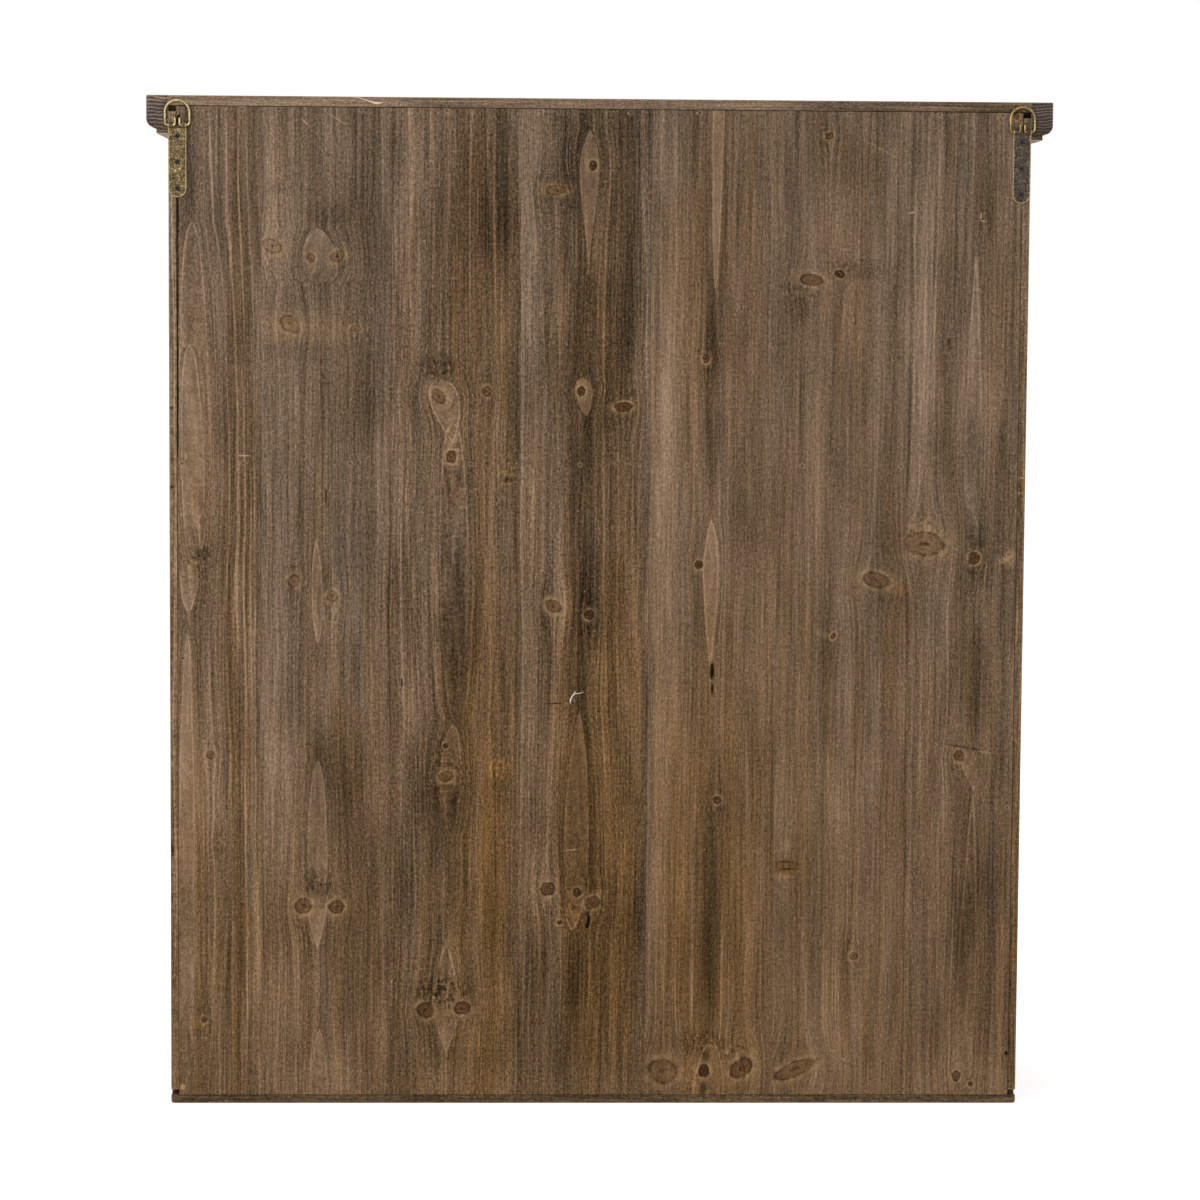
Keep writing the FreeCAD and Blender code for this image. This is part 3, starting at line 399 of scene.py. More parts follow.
def wood(name, across, along, depth, seed, look, knots=(), flames=(), patches=(), reference=0.0, box=None, pits=(),
         sunk=0.0):
    """Stained fir. Across, along and depth are directions; marks are placed in millimetres across and along.
    Sunk is how far below a panel's field, in millimetres, the painted shade in the recess is darkest."""
    paint = Paint(name)
    s = paint.along(across) + paint.along(depth, -reference) * DEPTH_SHARE
    v = paint.along(along)
    flat = paint.point(s, v)
    ripple = paint.layer(s, v, seed, RIPPLE)
    shift = paint.layer(s, v, seed, WANDER) * WANDER.share + ripple * RIPPLE.share
    shift, clouds = flow_round_knots(paint, flat, shift, knots)
    shift, fills, rims = flow_round_flames(s, v, ripple, shift, flames)
    grain = s - shift
    eased = s - shift * EASING
    place = paint.point(grain, v)

    fine = paint.layer(eased, v, seed, FINE)
    dash = paint.layer(eased, v, seed, DASH)
    speck = paint.layer(s, v, seed, SPECK)
    streak = paint.layer(grain, v, seed, STREAK)
    band = paint.layer(grain, v, seed, BAND)
    blotch = paint.layer(s, v, seed, BLOTCH)
    tone = (fine * FINE.share + dash * DASH.share + speck * SPECK.share + streak * STREAK.share
            + band * BAND.share + blotch * BLOTCH.share)
    tone = tone.math("MULTIPLY_ADD", look.contrast, look.tone)
    ring = ((grain * (1 / look.ring_width) + band * 0.8) * (2 * math.pi)).math("SINE").smooth(0.70, 1.0)
    tone = tone + ring * paint.layer(grain, v, seed, RING_SHARE).smooth(-0.7, 1.1) * look.rings

    # Painted light: the tint turns cooler towards the top, for the bluer light that falls there.
    level = paint.along(Z) * (1 / HEIGHT_MM)
    warm = paint.layer(grain, v, seed, HUE) * HUE.share + streak * 0.1 + level * -1.0 + (WARMTH + look.warm)
    curls = []
    for patch in patches:
        share = paint.far(place if patch.ry > LONG_MM else flat, patch).smooth(1.25, 0.4)
        if patch.tone:
            tone = tone + share * patch.tone
        if patch.warm:
            warm = warm + share * patch.warm
        if patch.curl:
            curls.append(share * patch.curl)
    if curls:
        tone = tone + reduce(Field.__add__, curls) * paint.layer(eased, v, seed, CRUMB)
    if clouds:
        cloud = reduce(Field.__add__, clouds)
        tone = tone - cloud * 0.22 + cloud * (dash + fine) * 0.20
    if flames:
        fill = reduce(Field.most, fills).clamped()
        rim = reduce(Field.most, rims) * fill.smooth(0.75, 0.5)
        tone = tone * (1 - fill * 0.45) + fill * 0.46 + rim * 0.38

    shade = stained(paint, tone)
    warm = warm + tone.smooth(0.55, 0.05) * 0.4 - tone.smooth(0.5, 0.9) * 0.35
    shade = paint.mix(1.0, shade, paint.ramp(warm.math("MULTIPLY_ADD", 0.5, 0.5), TINTS), "MULTIPLY")
    wooden_knots = [knot for knot in knots if knot.dark]
    if wooden_knots:
        shade = with_knots(paint, shade, s, v, flat, seed, wooden_knots)
    if pits:
        away = reduce(Field.least, [paint.length(paint.local(flat, pit, (1.0, 1.0))) for pit in pits]) + speck * 0.5
        shade = paint.mix((away - 1.8).bell(0.6) * 0.35, shade, PIT_RIM)
        shade = paint.mix(away.smooth(1.2, 0.5) * 0.6, shade, PIT_DARK)
    # Painted shade: a panel's bevel darkens the deeper it sinks below the field.
    if sunk:
        below = paint.along(depth, -box[0].dot(Vector(depth)) / MM)
        shade = paint.mix(below.smooth(0.1, sunk) * 0.6, shade, RECESS_SHADE)
    dust = paint.layer(s, v, seed, DUST_SPOTS).smooth(1.2, 1.4)
    shade = paint.mix(dust * 0.35, shade, DUST)
    if box is not None:
        shade = paint.mix(edge_wear(paint, box, seed) * 0.5, shade, WORN_WOOD)
    pores = paint.layer(s, v, seed, PORES)
    return paint.finish(shade, speck.math("MULTIPLY_ADD", 0.03, 0.74), pores, 0.00012, specular=0.05)


def edge_wear(paint, box, seed):
    """1 at the worn arrises of a box, and 0 away from them."""
    low, high = box
    gaps = []
    for axis, direction in enumerate((X, Y, Z)):
        middle = (low[axis] + high[axis]) / 2 / MM
        half = (high[axis] - low[axis]) / 2 / MM
        gaps.append(half - abs(paint.along(direction, -middle)))
    total = gaps[0] + gaps[1] + gaps[2]
    least = gaps[0].least(gaps[1]).least(gaps[2])
    most = gaps[0].most(gaps[1]).most(gaps[2])
    x, y, z = paint.axes()
    rough = paint.noise(x, z, y * 0.06 + seed, 0.06, 0.06, 3.0, 0.7)
    return (total - least - most - rough * 0.8).smooth(1.5, 0.2)


def end_grain(name, heart, slope, pitch, seed, box, tan_band, offset):
    """Crown returns: rings round a far-off heart show grey on the sawn end and run on as brown lines."""
    paint = Paint(name)
    x = paint.along(X, -heart[0])
    z = paint.along(Z, -heart[1])
    y = paint.along(Y)
    flow = paint.noise(x, z, y * 0.003 + seed, 0.10, 0.10, 2.0)
    rough = paint.noise(x, z, y * 0.02 + seed + 4.0, 0.65, 0.65, 2.0, 0.7)
    ring = (x * x + z * z).math("SQRT") + x * slope + flow * 1.1 + rough * 0.25
    late = (ring * (2 * math.pi / pitch)).math("SINE").smooth(-0.5, 0.8)
    broad = paint.noise(x, z, y * 0.006 + seed + 8.0, 0.07, 0.16, 1.0)
    top = box[1].z / MM
    tan = (paint.along(Z, -(top - 3.2)) + flow).bell(1.7) * tan_band
    lower = paint.along(Z).smooth(top - 18, top - 26)
    tone = late * (0.56 - lower * 0.25) + rough * 0.2 + broad * 0.12 + tan * 0.25 + lower * 0.1 + offset
    length = paint.along(Y, -box[1].y / MM).smooth(-0.4, -1.4)
    shade = paint.mix((lower + tan + length).clamped(), paint.ramp(tone, END_STOPS), stained(paint, tone))
    # Painted reflection: the crown return's underside is painted pale, as if lit by the white floor.
    below = paint.along(Z, -box[0].z / MM).smooth(0.4, 0.2)
    shade = paint.mix(below * 0.8, shade, UNDERSIDE_REFLECTION)
    shade = paint.mix(edge_wear(paint, box, seed) * 0.3, shade, WORN_WOOD)
    return paint.finish(shade, 0.8, late * 0.5 + rough * 0.4, 0.0003, specular=0.2)


# What the photograph shows on the back's staves. The marks hold the values of Knot, Flame and Patch, in their order;
# places and sizes are the photograph's pixels.

PIXEL_MM = 0.833

StaveMarks = namedtuple("StaveMarks", "seed look knots flames patches")

STAVES = {}
STAVES["back_stave_1"] = StaveMarks(11, Look(0.505, 0.05, 0.1, 8), knots=[
    (202, 552.5, 5.8, 7.6, -25, 0, 0.7), (210.5, 754.5, 4.3, 4.3, 0, 0.5), (219, 843, 2.2, 2.6, 0, 0.4),
    (204, 1020, 3, 3.5, 0, 0.7, 0.7)
], flames=[
    (192, 223, 330, 14, 0.5, 0.5, 0.25, 3), (189.5, 347, 215, 11, 0.45, 0.35, 0.7, 5, 0.6),
    (188.7, 611, -52, 8, 0.6, 0.3, 0.5), (187.5, 636, 470, 8.5, 0.5, 0.2, 0.9, -4)
], patches=[
    (214, 200, 1.2, 130, 0.34, 0.1, 3.2), (229, 220, 1.9, 150, 0.33, 0, 1.3), (240, 220, 1.1, 150, 0.37, 0.1, 1),
    (249, 220, 1, 150, 0.26, 0.1, 1.7), (223, 460, 1.3, 160, 0.33, 0.2, 1.6), (235, 500, 2.2, 190, 0.33, 0.3, 1),
    (243, 540, 1.4, 220, 0.36, 0.3, 1), (250, 560, 1.1, 200, 0.24, 0.2, 0.6), (230, 830, 1.8, 230, 0.27, 0.2, 0.4),
    (246, 880, 1.6, 240, 0.27, 0.2, 0.2), (254, 600, 1, 420, 0.21, 0.2, 0.4), (211, 800, 1.4, 260, 0.21, 0.2, 0.4),
    (202, 552.5, 6.4, 8.2, -0.26, -0.4, -25), (186, 175, 13, 75, -0.12, -0.5), (237, 600, 17, 620, -0.08, 0.25),
    (190, 480, 14, 90, 0.05, 0.2), (200, 640, 16, 60, -0.1, -0.2), (205, 900, 9, 60, -0.07),
    (191, 780, 13, 260, 0.07, 0.1), (246, 190, 13, 100, -0.09, 0.1), (246, 950, 12, 60, -0.1, 0.3),
    (181, 970, 3, 80, 0.22, 0.2), (197, 1022, 9, 8, 0.12, 0.8),
    # (178.4, 120) is painted shadow behind the hanger's prongs.
    *[(177.7, y, 1, 28, -0.7) for y in range(215, 460, 44)], (178.4, 120, 1.8, 5.5, -1.4),
    (183, 1087, 3.2, 3.2, 0.5, 0.3), (244, 455.6, 6, 0.9, 1.1, -0.5), (186, 456, 0.9, 2.2, 0.9),
    (181, 515, 1.8, 0.8, 0.7, 0, 40), (181, 425, 1.5, 0.8, 0.7), (246, 400, 10, 230, -0.05), (190, 880, 13, 160, 0.05)
])
STAVES["back_stave_2"] = StaveMarks(23, Look(0.475, -0.15, 0.07, 4.5), knots=[
    (272.5, 246, 9.5, 6, -22, 0.04, 0.1), (311, 258, 3.9, 4.8, 0, 0.5, 0.2), (337.6, 256, 7.2, 4.7, 30, 0.2, 0.2),
    (290, 324, 10, 7, -35, 0.08, 0.1), (356, 328.5, 5, 3.2, 0, 0.15, 0.2), (294, 581, 5.8, 5.8, 0, 0.25, 0.5),
    (332, 596, 5.4, 5.4, 0, 0.2, 0.3), (303.4, 906, 7.5, 7.8, 20, 0.45, 0.3), (336.5, 906.5, 7.4, 6.6, 25, 0.75, 0.3)
], flames=[
    (317, 229, 52, 17, 0.6, 0.3, 1, 5, 0.6), (316, 541, 101, 5.2, 0.9, 0.8, 0.8, 2, 0.3),
    (317.6, 762, 150, 9, 0.6, 0.45, 1), (317, 946, -52, 9, 0.75, 0.15, 1.1, 0, 0.9),
    (319.6, 1031, 95, 8, 0.55, 0.15, 0.8)
], patches=[
    (290, 170, 26, 90, 0.05, 0.3), (365, 300, 22, 200, -0.1), (300, 330, 60, 18, 0.08, 0.5),
    (282, 700, 22, 200, 0.09, -0.1), (355, 900, 30, 160, -0.05, 0.2), (355, 560, 26, 120, -0.05, -0.2),
    (277, 189, 11, 6, -0.14, -0.6), (262, 560, 5, 320, 0.08, -0.4), (320, 915, 36, 9, 0.08, 0.3),
    (318, 884, 17, 15, -0.22, 0, 0, 0.5), (318, 600, 26, 30, 0, 0, 0, 0.15), (318, 575, 16, 30, -0.1),
    (290, 350, 60, 16, -0.07), (330, 215, 22, 14, -0.12), (350, 760, 20, 60, -0.03, 0.2),
    (279, 350, 20, 300, 0.13, -0.1), (369, 350, 20, 90, -0.12), (369, 760, 20, 90, 0.08, 0.1),
    (345, 900, 50, 260, 0, 0.1), (391, 560, 1.4, 300, -0.25), (371, 308, 5, 0.7, 0.45, 0, -35),
    (272.5, 246, 1.8, 1.1, -0.6, 0.2, -20), (337, 256, 2.2, 1.1, -0.6, 0.2, 30), (305, 122, 7, 0.8, 0.4, 0, -40),
    (337, 119, 10, 0.8, 0.4, 0, -32), (326, 497, 0.9, 9, -0.7), (340, 700, 36, 45, 0.08), (325, 1020, 60, 70, 0.08),
    (325, 1088, 66, 36, 0.12)
])
STAVES["back_stave_3"] = StaveMarks(37, Look(0.455, 0, 0.1, 6, 1.1), knots=[
    (438.5, 396, 8, 6, -50, 0.5, 0.1), (487, 391, 4.2, 4.6, 0, 0.55, 0.2), (451.5, 457, 5, 6, 0, 0.75, 0.2),
    (445.5, 746, 2.6, 2.6, 0, 1, 0.2), (446, 776.5, 7, 5, 10, 0.5, 0.2), (425.5, 1010, 8, 7, -30, 0.65, 0.4),
    (462, 1008, 7.5, 6.2, 10, 0.75, 0.4)
], flames=[
    (453, 442, -60, 14, 0.9, 0.35, 0.35, -12, 0), (453, 424, 290, 13.5, 0.4, 0.5, 0.12, 2),
    (453, 726, 110, 10, 0.5, 0.5, 0.6, -4), (446, 1050, -42, 10, 0.8, 0.15, 1, 0, 0.9),
    (446, 945, 75, 13, 0.75, 0.1, 0, 0, 0.7)
], patches=[
    (410, 200, 16, 230, 0.09, 0.1), (490, 190, 30, 120, -0.17), (471, 230, 1.2, 140, 0.3, 0.1),
    (495, 230, 1.5, 120, 0.21, 0.4), (455, 560, 7, 130, -0.13), (498, 560, 22, 100, 0.05, -0.1),
    (405, 560, 12, 260, 0.05, -0.1), (430, 850, 26, 170, -0.12), (490, 870, 20, 110, 0.03, 0.4),
    (438, 366, 20, 14, -0.2, 0, 0, 0.4), (454, 455, 14, 24, 0, 0, 0, 0.4), (479, 1046, 1.1, 20, 0.33, 1.2),
    (510, 1060, 12, 60, -0.1), (443, 992, 34, 20, -0.1, 0, 0, 0.55), (443, 985, 12, 20, -0.1),
    (446, 768, 14, 34, 0, 0.2, 0, 0.45), (508, 470, 14, 18, 0.06, 0.6, 0, 0.45), (500, 769, 14, 13, 0.12, 0.8, 0, 0.5),
    (508, 480, 6, 3, -0.2, 0.3), (413, 350, 16, 100, -0.07), (413, 745, 16, 60, 0.1), (458, 600, 12, 400, -0.08),
    (498, 180, 18, 120, -0.09), (498, 900, 18, 80, -0.12), (480, 850, 42, 360, 0, 0.75), (480, 300, 42, 240, 0, 0.6),
    (516, 560, 3, 420, -0.16), (402, 683, 1.3, 5, -0.6), (440, 391, 15, 8, 0.12, 0.2),
    (451, 417, 9, 24, 0.13, 0.2, 12), (453, 452, 11, 20, 0.12, 0.2), (455, 550, 16, 80, 0.1), (415, 700, 16, 45, 0.09),
    (458, 900, 16, 50, -0.1), (415, 990, 16, 70, 0.08), (430, 350, 34, 70, -0.07), (465, 1088, 66, 30, 0.1)
])
STAVES["back_stave_4"] = StaveMarks(53, Look(0.41, -0.05, 0.08, 5, 1.1), knots=[
    (593.3, 165.5, 4, 4.6, 0, 1, 0), (556, 190, 9.5, 4.5, 0, 0.18, 0.2), (650, 197, 2.6, 3.4, 0, 0.4, 0.3),
    (581, 391, 4, 4.6, 0, 0.95, 0), (623.5, 407, 8, 4.6, 5, 0.8, 0.2), (553.6, 606, 8, 6, -25, 0.5, 0.2),
    (589, 615, 4.5, 4.6, 0, 1, 0.2), (547.6, 889, 7, 6.6, 0, 0.75, 0.3), (577.3, 892.5, 4.2, 4.4, 0, 1, 0),
    (592, 902.5, 7.6, 5.6, 30, 0.65, 0.3), (559.5, 922.6, 2.6, 2.2, 10, 1, 0)
], flames=[
    (590.5, 131, 140, 9.2, 0.9, 2.2, 1, -1, 0.2), (586, 416, -37, 7.5, 0.8, 0.4, 0.9, -3, 0),
    (579.5, 713, 185, 12, 0.8, 0.35, 0.9, -4, 0.8), (571.5, 930, -54, 9, 0.6, 0.3, 0.5, 4)
], patches=[
    (520, 420, 30, 420, 0.2, 0.1), (560, 640, 12, 260, 0.1), (580, 545, 17, 150, -0.06, -0.1),
    (566, 200, 9, 100, -0.12), (625, 200, 20, 170, -0.12), (604, 480, 1.4, 420, 0.26, -0.1),
    # (628, 113.5) is a painted glint at a brad.
    (628, 113.5, 0.9, 0.8, 1.5, -0.6), (628, 560, 14, 150, 0.04, 0.2), (582, 1000, 26, 80, -0.13, 0.1),
    (575, 905, 36, 26, 0.04, 0.1, 0, 0.35), (622, 407, 20, 10, 0, 0.4, 0, 0.45), (556, 190, 20, 10, 0, 0.3, 0, 0.3),
    (570, 610, 34, 14, 0, 0.2, 0, 0.25), (585, 780, 22, 90, -0.07), (620, 960, 20, 140, -0.06, 0.2),
    (567, 160, 1.2, 60, 0.22, 0.2), (618, 560, 1.2, 170, 0.15, 0.2), (560, 560, 1.2, 180, 0.18, 0.2),
    (554, 703.5, 6.5, 0.9, -0.7, 0, 3), (583, 400, 18, 330, -0.18), (626, 420, 16, 330, -0.1),
    (583, 900, 22, 140, -0.1), (541, 950, 18, 50, -0.1), (598, 800, 50, 330, 0, 1), (600, 300, 44, 220, 0, 0.65),
    (571, 850, 10, 1.1, 0.4, 0, 5), (607, 560, 1.1, 150, 0.2, 0.1), (634, 520, 1.1, 130, 0.16, 0.1),
    (522.5, 560, 1.6, 420, 0.12, -0.2), (587, 912, 2.6, 3.6, -1.6, 0.4), (588.6, 920, 1.5, 7, -1.6, 0.4),
    (586.8, 926, 1.5, 2.4, -1.6, 0.4), (582, 160, 18, 60, -0.1), (600, 610, 34, 60, -0.1), (585, 1088, 66, 26, 0.06)
])
STAVES["back_stave_5"] = StaveMarks(67, Look(0.505, 0.05, 0.07, 5, 0.88), knots=[
    (706, 359, 3.4, 4.2, 0, 0.8, 0.5), (699, 565, 4, 4.3, 0, 0.95, 0.3), (717, 800, 3.8, 3.8, 0, 0.9, 0.5),
    (662.5, 1071, 14, 11.5, -15, 0.12, 0.2), (704, 1071, 5.4, 6.2, 0, 1, 0), (741, 1068, 12, 8.4, 40, 0.6, 0.3)
], flames=[
    (715.5, 287, -200, 5, 0.6, 0.1, 1, 1.5, 0.3), (711.5, 521, 160, 7.2, 0.9, 1.8, 0.8, 0, 0.4),
    (711, 1040, 62, 15, 0.6, 0.15, 0.4, -3, 0.3)
], patches=[
    # (697.3, 113.2) is a painted glint at a brad.
    (673, 420, 26, 260, 0.05, 0.15), (697.3, 113.2, 0.9, 0.8, 1.5, -0.6), (668, 140, 18, 60, 0.06, -0.6),
    (712, 400, 9, 120, -0.22), (710, 920, 9, 130, -0.17), (670, 800, 24, 200, 0.03, 0.2),
    (750, 300, 20, 180, -0.03, 0.1), (711.8, 671, 2.6, 10, -1, 0.1), (712.2, 689, 1.6, 6, -0.8, 0.1),
    (667, 1069.5, 3, 0.9, -0.9, 0.2, -25), (702, 1042, 30, 14, -0.14, 0, 0, 0.5),
    (690, 1075, 12, 20, 0.04, 0.3, 0, 0.5), (738, 1060, 22, 30, 0.02, 0.2, 0, 0.45), (750, 800, 16, 200, 0.01, 0.1),
    (692, 980, 1.3, 70, 0.27, 0.2), (722, 980, 1.3, 80, 0.27, 0.2), (729, 990, 1.2, 80, 0.18, 0.2),
    (675, 990, 1.3, 70, 0.21, 0.2), (704, 1087, 5, 8, -0.35), (705, 1057, 5, 7, -0.4), (664, 560, 16, 340, 0.17),
    (716, 250, 17, 110, -0.2, 0.1), (716, 900, 17, 150, -0.08, 0.1), (715, 880, 60, 280, 0, 0.55),
    (722, 250, 50, 210, 0, 0.4), (648.4, 400, 1.4, 420, -0.2), (705, 190, 14, 50, -0.07), (705, 1000, 14, 45, -0.09)
])
STAVES["back_stave_6"] = StaveMarks(83, Look(0.51, 0, 0.08, 5.5, 0.84), knots=[
    (829.5, 136, 4.2, 3, 35, 0.8, 0.3), (812, 280, 10.5, 5.6, -4, 0.6, 0.2), (839.5, 274, 4.6, 3.6, -15, 1, 0.2),
    (876, 580, 13, 7, -14, 0.35, 0.2), (833, 636, 2.4, 3.6, -30, 0.8, 0.4), (795, 1069, 21, 7, 24, 0.3, 0.1),
    (853.5, 956, 4, 3.6, 0, 0.5, 0.3)
], flames=[], patches=[
    (852, 165, 42, 34, -0.1, 0.2, -15), (800, 300, 16, 26, -0.14), (860, 270, 34, 12, -0.12, 0, 0, 0.3),
    (800, 290, 24, 16, 0, 0.2, 0, 0.45), (838, 200, 5, 60, 0.08, 0.1), (890, 540, 18, 26, -0.08, 0.1),
    (800, 700, 22, 200, 0.01, 0.15), (872, 700, 16, 260, -0.02, -0.2), (797, 400, 1.1, 160, 0.18),
    (786, 867, 13, 9, -0.14, 1.8), (785, 862, 9, 1, -0.3, 0.3), (787, 869, 8, 1, -0.3, 0.3),
    (783, 876, 11, 5, 0.16, 0.6), (786, 846, 5, 9, 0.12, 0.4), (835, 980, 1.2, 80, 0.24, 0.2), (826, 990, 6, 70, 0.08),
    (797, 450, 16, 270, -0.06), (845, 850, 26, 240, 0.05), (900, 590, 8, 9, 0.08, 0.9),
    (822, 634, 9, 4, 0.2, 0.2, -25), (844, 1059.5, 1.1, 1.1, 1, -0.5), (837, 1045, 5, 24, 0.14),
    (832, 970, 1.1, 60, 0.2), (881, 149, 24, 1.4, 0.16, 0.3, -27), (774.5, 600, 1.4, 420, -0.18),
    (840, 1010, 60, 60, 0.06), (845, 1088, 66, 34, 0.08)
])
STAVES["back_stave_7"] = StaveMarks(97, Look(0.49, -0.1, 0.1, 7, 0.9), knots=[
    (949.5, 343, 2.6, 6, 0, 0, 0.1), (924, 543.5, 19, 11.5, -4, 0.2, 0.2), (974, 558, 5.5, 5.9, 0, 0.8, 0.9),
    (959, 756, 5, 5.4, 20, 0.65, 0.4), (956, 1076, 4.2, 5, 0, 0.75, 0.2), (970.5, 1084, 2.8, 2.6, 0, 0.8, 0.1),
    (1016.5, 116, 2.6, 3.4, 20, 0.7, 0)
], flames=[
    (976, 257, 300, 8, 0.9, 0.4, 0.6), (973.5, 791, -40, 8, 1, 0.2, 1.1, -7), (973, 795, 290, 9, 0.9, 0.3, 0.1, -6)
], patches=[
    (925, 300, 16, 220, 0.08, -0.3), (990, 160, 16, 80, -0.1, 0.1), (1000, 470, 12, 60, -0.1),
    (978, 680, 14, 60, -0.14), (975, 940, 26, 130, -0.12, 0.1), (1010, 557, 8, 12, 0.22, 0.3),
    (965, 747.5, 24, 1.1, -0.35, 0, -9), (986, 752, 8, 2, 0.2, 0.3, -9), (926, 300, 1.2, 200, 0.21, -0.2),
    (915, 900, 10, 180, 0.04, 0.1), (915, 300, 1.2, 200, 0.18, -0.2), (937, 300, 1.3, 200, 0.15, -0.2),
    (920, 700, 1.3, 120, 0.21), (945, 700, 1.2, 150, 0.15), (930, 620, 12, 50, 0.05, -0.5),
    (955, 960, 1.2, 120, 0.21, 0.2), (970, 960, 1.2, 120, 0.21, 0.2), (996, 800, 1.2, 150, 0.18, 0.2),
    (1015, 117, 6, 9, 0.14, 0.9), (1006, 1053, 1.6, 2.4, -1.1), (1016, 830, 0.8, 9, 0.7, -0.3),
    (1015, 860, 0.7, 6, 0.8, -0.3), (1014.5, 905, 0.8, 12, 0.6, -0.2), (922, 370, 14, 140, 0.13, -0.2),
    (962, 860, 16, 110, -0.17), (996, 850, 14, 160, -0.11), (909.5, 213, 6, 0.9, 0.9, -0.4, 8),
    (981, 216, 0.9, 4, 0.9, -0.4), (983, 221, 2.5, 0.8, 0.7, -0.4, -20), (907, 600, 1.4, 420, -0.2),
    (905.5, 498, 0.8, 9, 0.9, 0.2), (925.5, 543.5, 3.2, 1.1, -1.1, 0, -5), (949.5, 343, 2.2, 9, -0.32, 1.3),
    (972, 560, 26, 60, -0.1), (925, 532, 26, 20, 0.03, 0.1, 0, 0.35), (1003, 557, 12, 14, 0, 0.2, 0, 0.5),
    (1004, 560, 10, 4, 0.25, 0.5, 30), (960, 400, 50, 45, 0.08), (995, 740, 30, 60, -0.07), (965, 1086, 66, 34, 0.1)
])


def on_stave(mark):
    """A mark of the photograph, placed across and along the back in millimetres."""
    place = on_back(mark.x, mark.y)
    names = ("length", "width", "lean") if isinstance(mark, Flame) else ("rx", "ry")
    sizes = {name: getattr(mark, name) * PIXEL_MM for name in names}
    return mark._replace(x=-place.x / MM, y=place.z / MM, **sizes)


def stave_material(name):
    marks = STAVES[name]
    groups = ((Knot, marks.knots), (Flame, marks.flames), (Patch, marks.patches))
    sets = [[on_stave(kind(*mark)) for mark in group] for kind, group in groups]
    low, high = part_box(name)
    pits = [(-place.x / MM, place.z / MM) for place in BRADS if low.x < place.x < high.x]
    return wood(name + "_wood", (-1, 0, 0), Z, Y, marks.seed, marks.look, *sets, reference=BACK_Y / MM, pits=pits)


# Metals

def aged_brass(name, shades, share, seed, rim=None, edge_highlight_shade=None, roughness=0.45, metallic=0.7, grit=1.15):
    """Brass under a patina, in dark, middle and bright shades; rim is a strap's outline, where a bright edge highlight
    is painted.
    """
    paint = Paint(name)
    dark, middle, bright = shades
    x, y, z = paint.axes()
    depth = y * 0.6 + seed
    mottle = paint.noise(x, z, depth, 0.16, 0.16, 2.0, 0.7)
    speck = paint.noise(x, z, depth + 7.0, 0.62, 0.62, 2.0, 0.7)
    mixed = mottle * 0.45 + speck * grit + share
    shade = paint.mix(mixed.smooth(-1.0, 0.2), dark, middle)
    shade = paint.mix(mixed.smooth(0.1, 1.1), shade, bright)
    height = mottle * 0.3 + speck * 0.4
    if rim is not None:
        centre, end_z, half = rim
        side = abs(x - centre)
        below = (end_z - z).most(0.0)
        outside = (side * side + below * below).math("SQRT")
        # Painted highlight: a bright line along the strap's outline.
        edge = (outside + speck * 0.12).smooth(half - 1.15, half - 0.55)
        shade = paint.mix(edge * (speck.smooth(-1.0, 0.6) * 0.5 + 0.4), shade, edge_highlight_shade)
    return paint.finish(shade, speck.math("MULTIPLY_ADD", 0.07, roughness), height, 0.0001, metallic, 0.5)


def plain_metal(name, shade, seed, roughness=0.4, metallic=0.9):
    paint = Paint(name)
    x, y, z = paint.axes()
    mottle = paint.noise(x, z, y * 0.8 + seed, 0.8, 0.8, 3.0, 0.7)
    toned = paint.mix(mottle.smooth(-1.0, 1.0) * 0.5, shade, darker(shade, 0.5))
    return paint.finish(toned, mottle.math("MULTIPLY_ADD", 0.07, roughness), mottle, 0.00006, metallic, 0.5)


def brown_plastic():
    paint = Paint("catch_plastic")
    x, y, z = paint.axes()
    grit = paint.noise(x, z, y, 2.5, 2.5, 2.0, 0.6)
    shade = paint.mix(grit.smooth(-1.0, 1.0) * 0.3, colour(72, 50, 36), colour(94, 68, 50))
    return paint.finish(shade, 0.55, grit, 0.00005, 0.0, 0.4)


# Dark, middle and bright shades
RING_BRASS = {
    "left": (colour(56, 44, 28), colour(118, 97, 62), colour(180, 153, 104)),
    "right": (colour(84, 72, 44), colour(142, 124, 78), colour(200, 182, 132)),
}
KNOB_BRASS = (colour(62, 50, 34), colour(118, 98, 60), colour(160, 136, 86))
HINGE_BRASS = (colour(70, 56, 36), colour(126, 104, 64), colour(164, 138, 86))
STRAP_BRASS = {
    "left": (colour(36, 30, 25), colour(72, 63, 50), colour(122, 108, 86)),
    "right": (colour(38, 29, 21), colour(94, 76, 48), colour(178, 154, 106)),
}
# Colours of the painted highlight along each strap's outline
STRAP_EDGE_HIGHLIGHT = {"left": colour(168, 147, 108), "right": colour(164, 144, 100)}
STRAP_SHARE = {"left": -0.15, "right": 0.0}


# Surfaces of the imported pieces

def dress(node, material, arris=0.0):
    """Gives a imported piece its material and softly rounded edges."""
    piece = NODES[node]
    piece.data.materials.clear()
    piece.data.materials.append(material)
    if arris:
        weld = piece.modifiers.new("weld", "WELD")
        weld.merge_threshold = WELD_REACH
        bevel = piece.modifiers.new("arris", "BEVEL")
        bevel.width = arris * MM
        bevel.segments = 3
        bevel.limit_method = "ANGLE"
        bevel.angle_limit = math.radians(30)
        bevel.harden_normals = True


def board(node, across, along, depth, seed, look, knots=(), flames=(), patches=(), arris=0.5, sunk=0.0):
    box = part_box(node)
    middle = (box[0] + box[1]).dot(Vector(depth)) / 2 / MM
    dress(node, wood(node + "_wood", across, along, depth, seed, look, knots, flames, patches, middle, box,
                     sunk=sunk), arris)


def dress_back():
    for name in STAVES:
        dress(name, stave_material(name), 0.2)
    dress("back_brads", plain_metal("brad_steel", colour(74, 66, 56), 3.0, 0.6, 0.7))
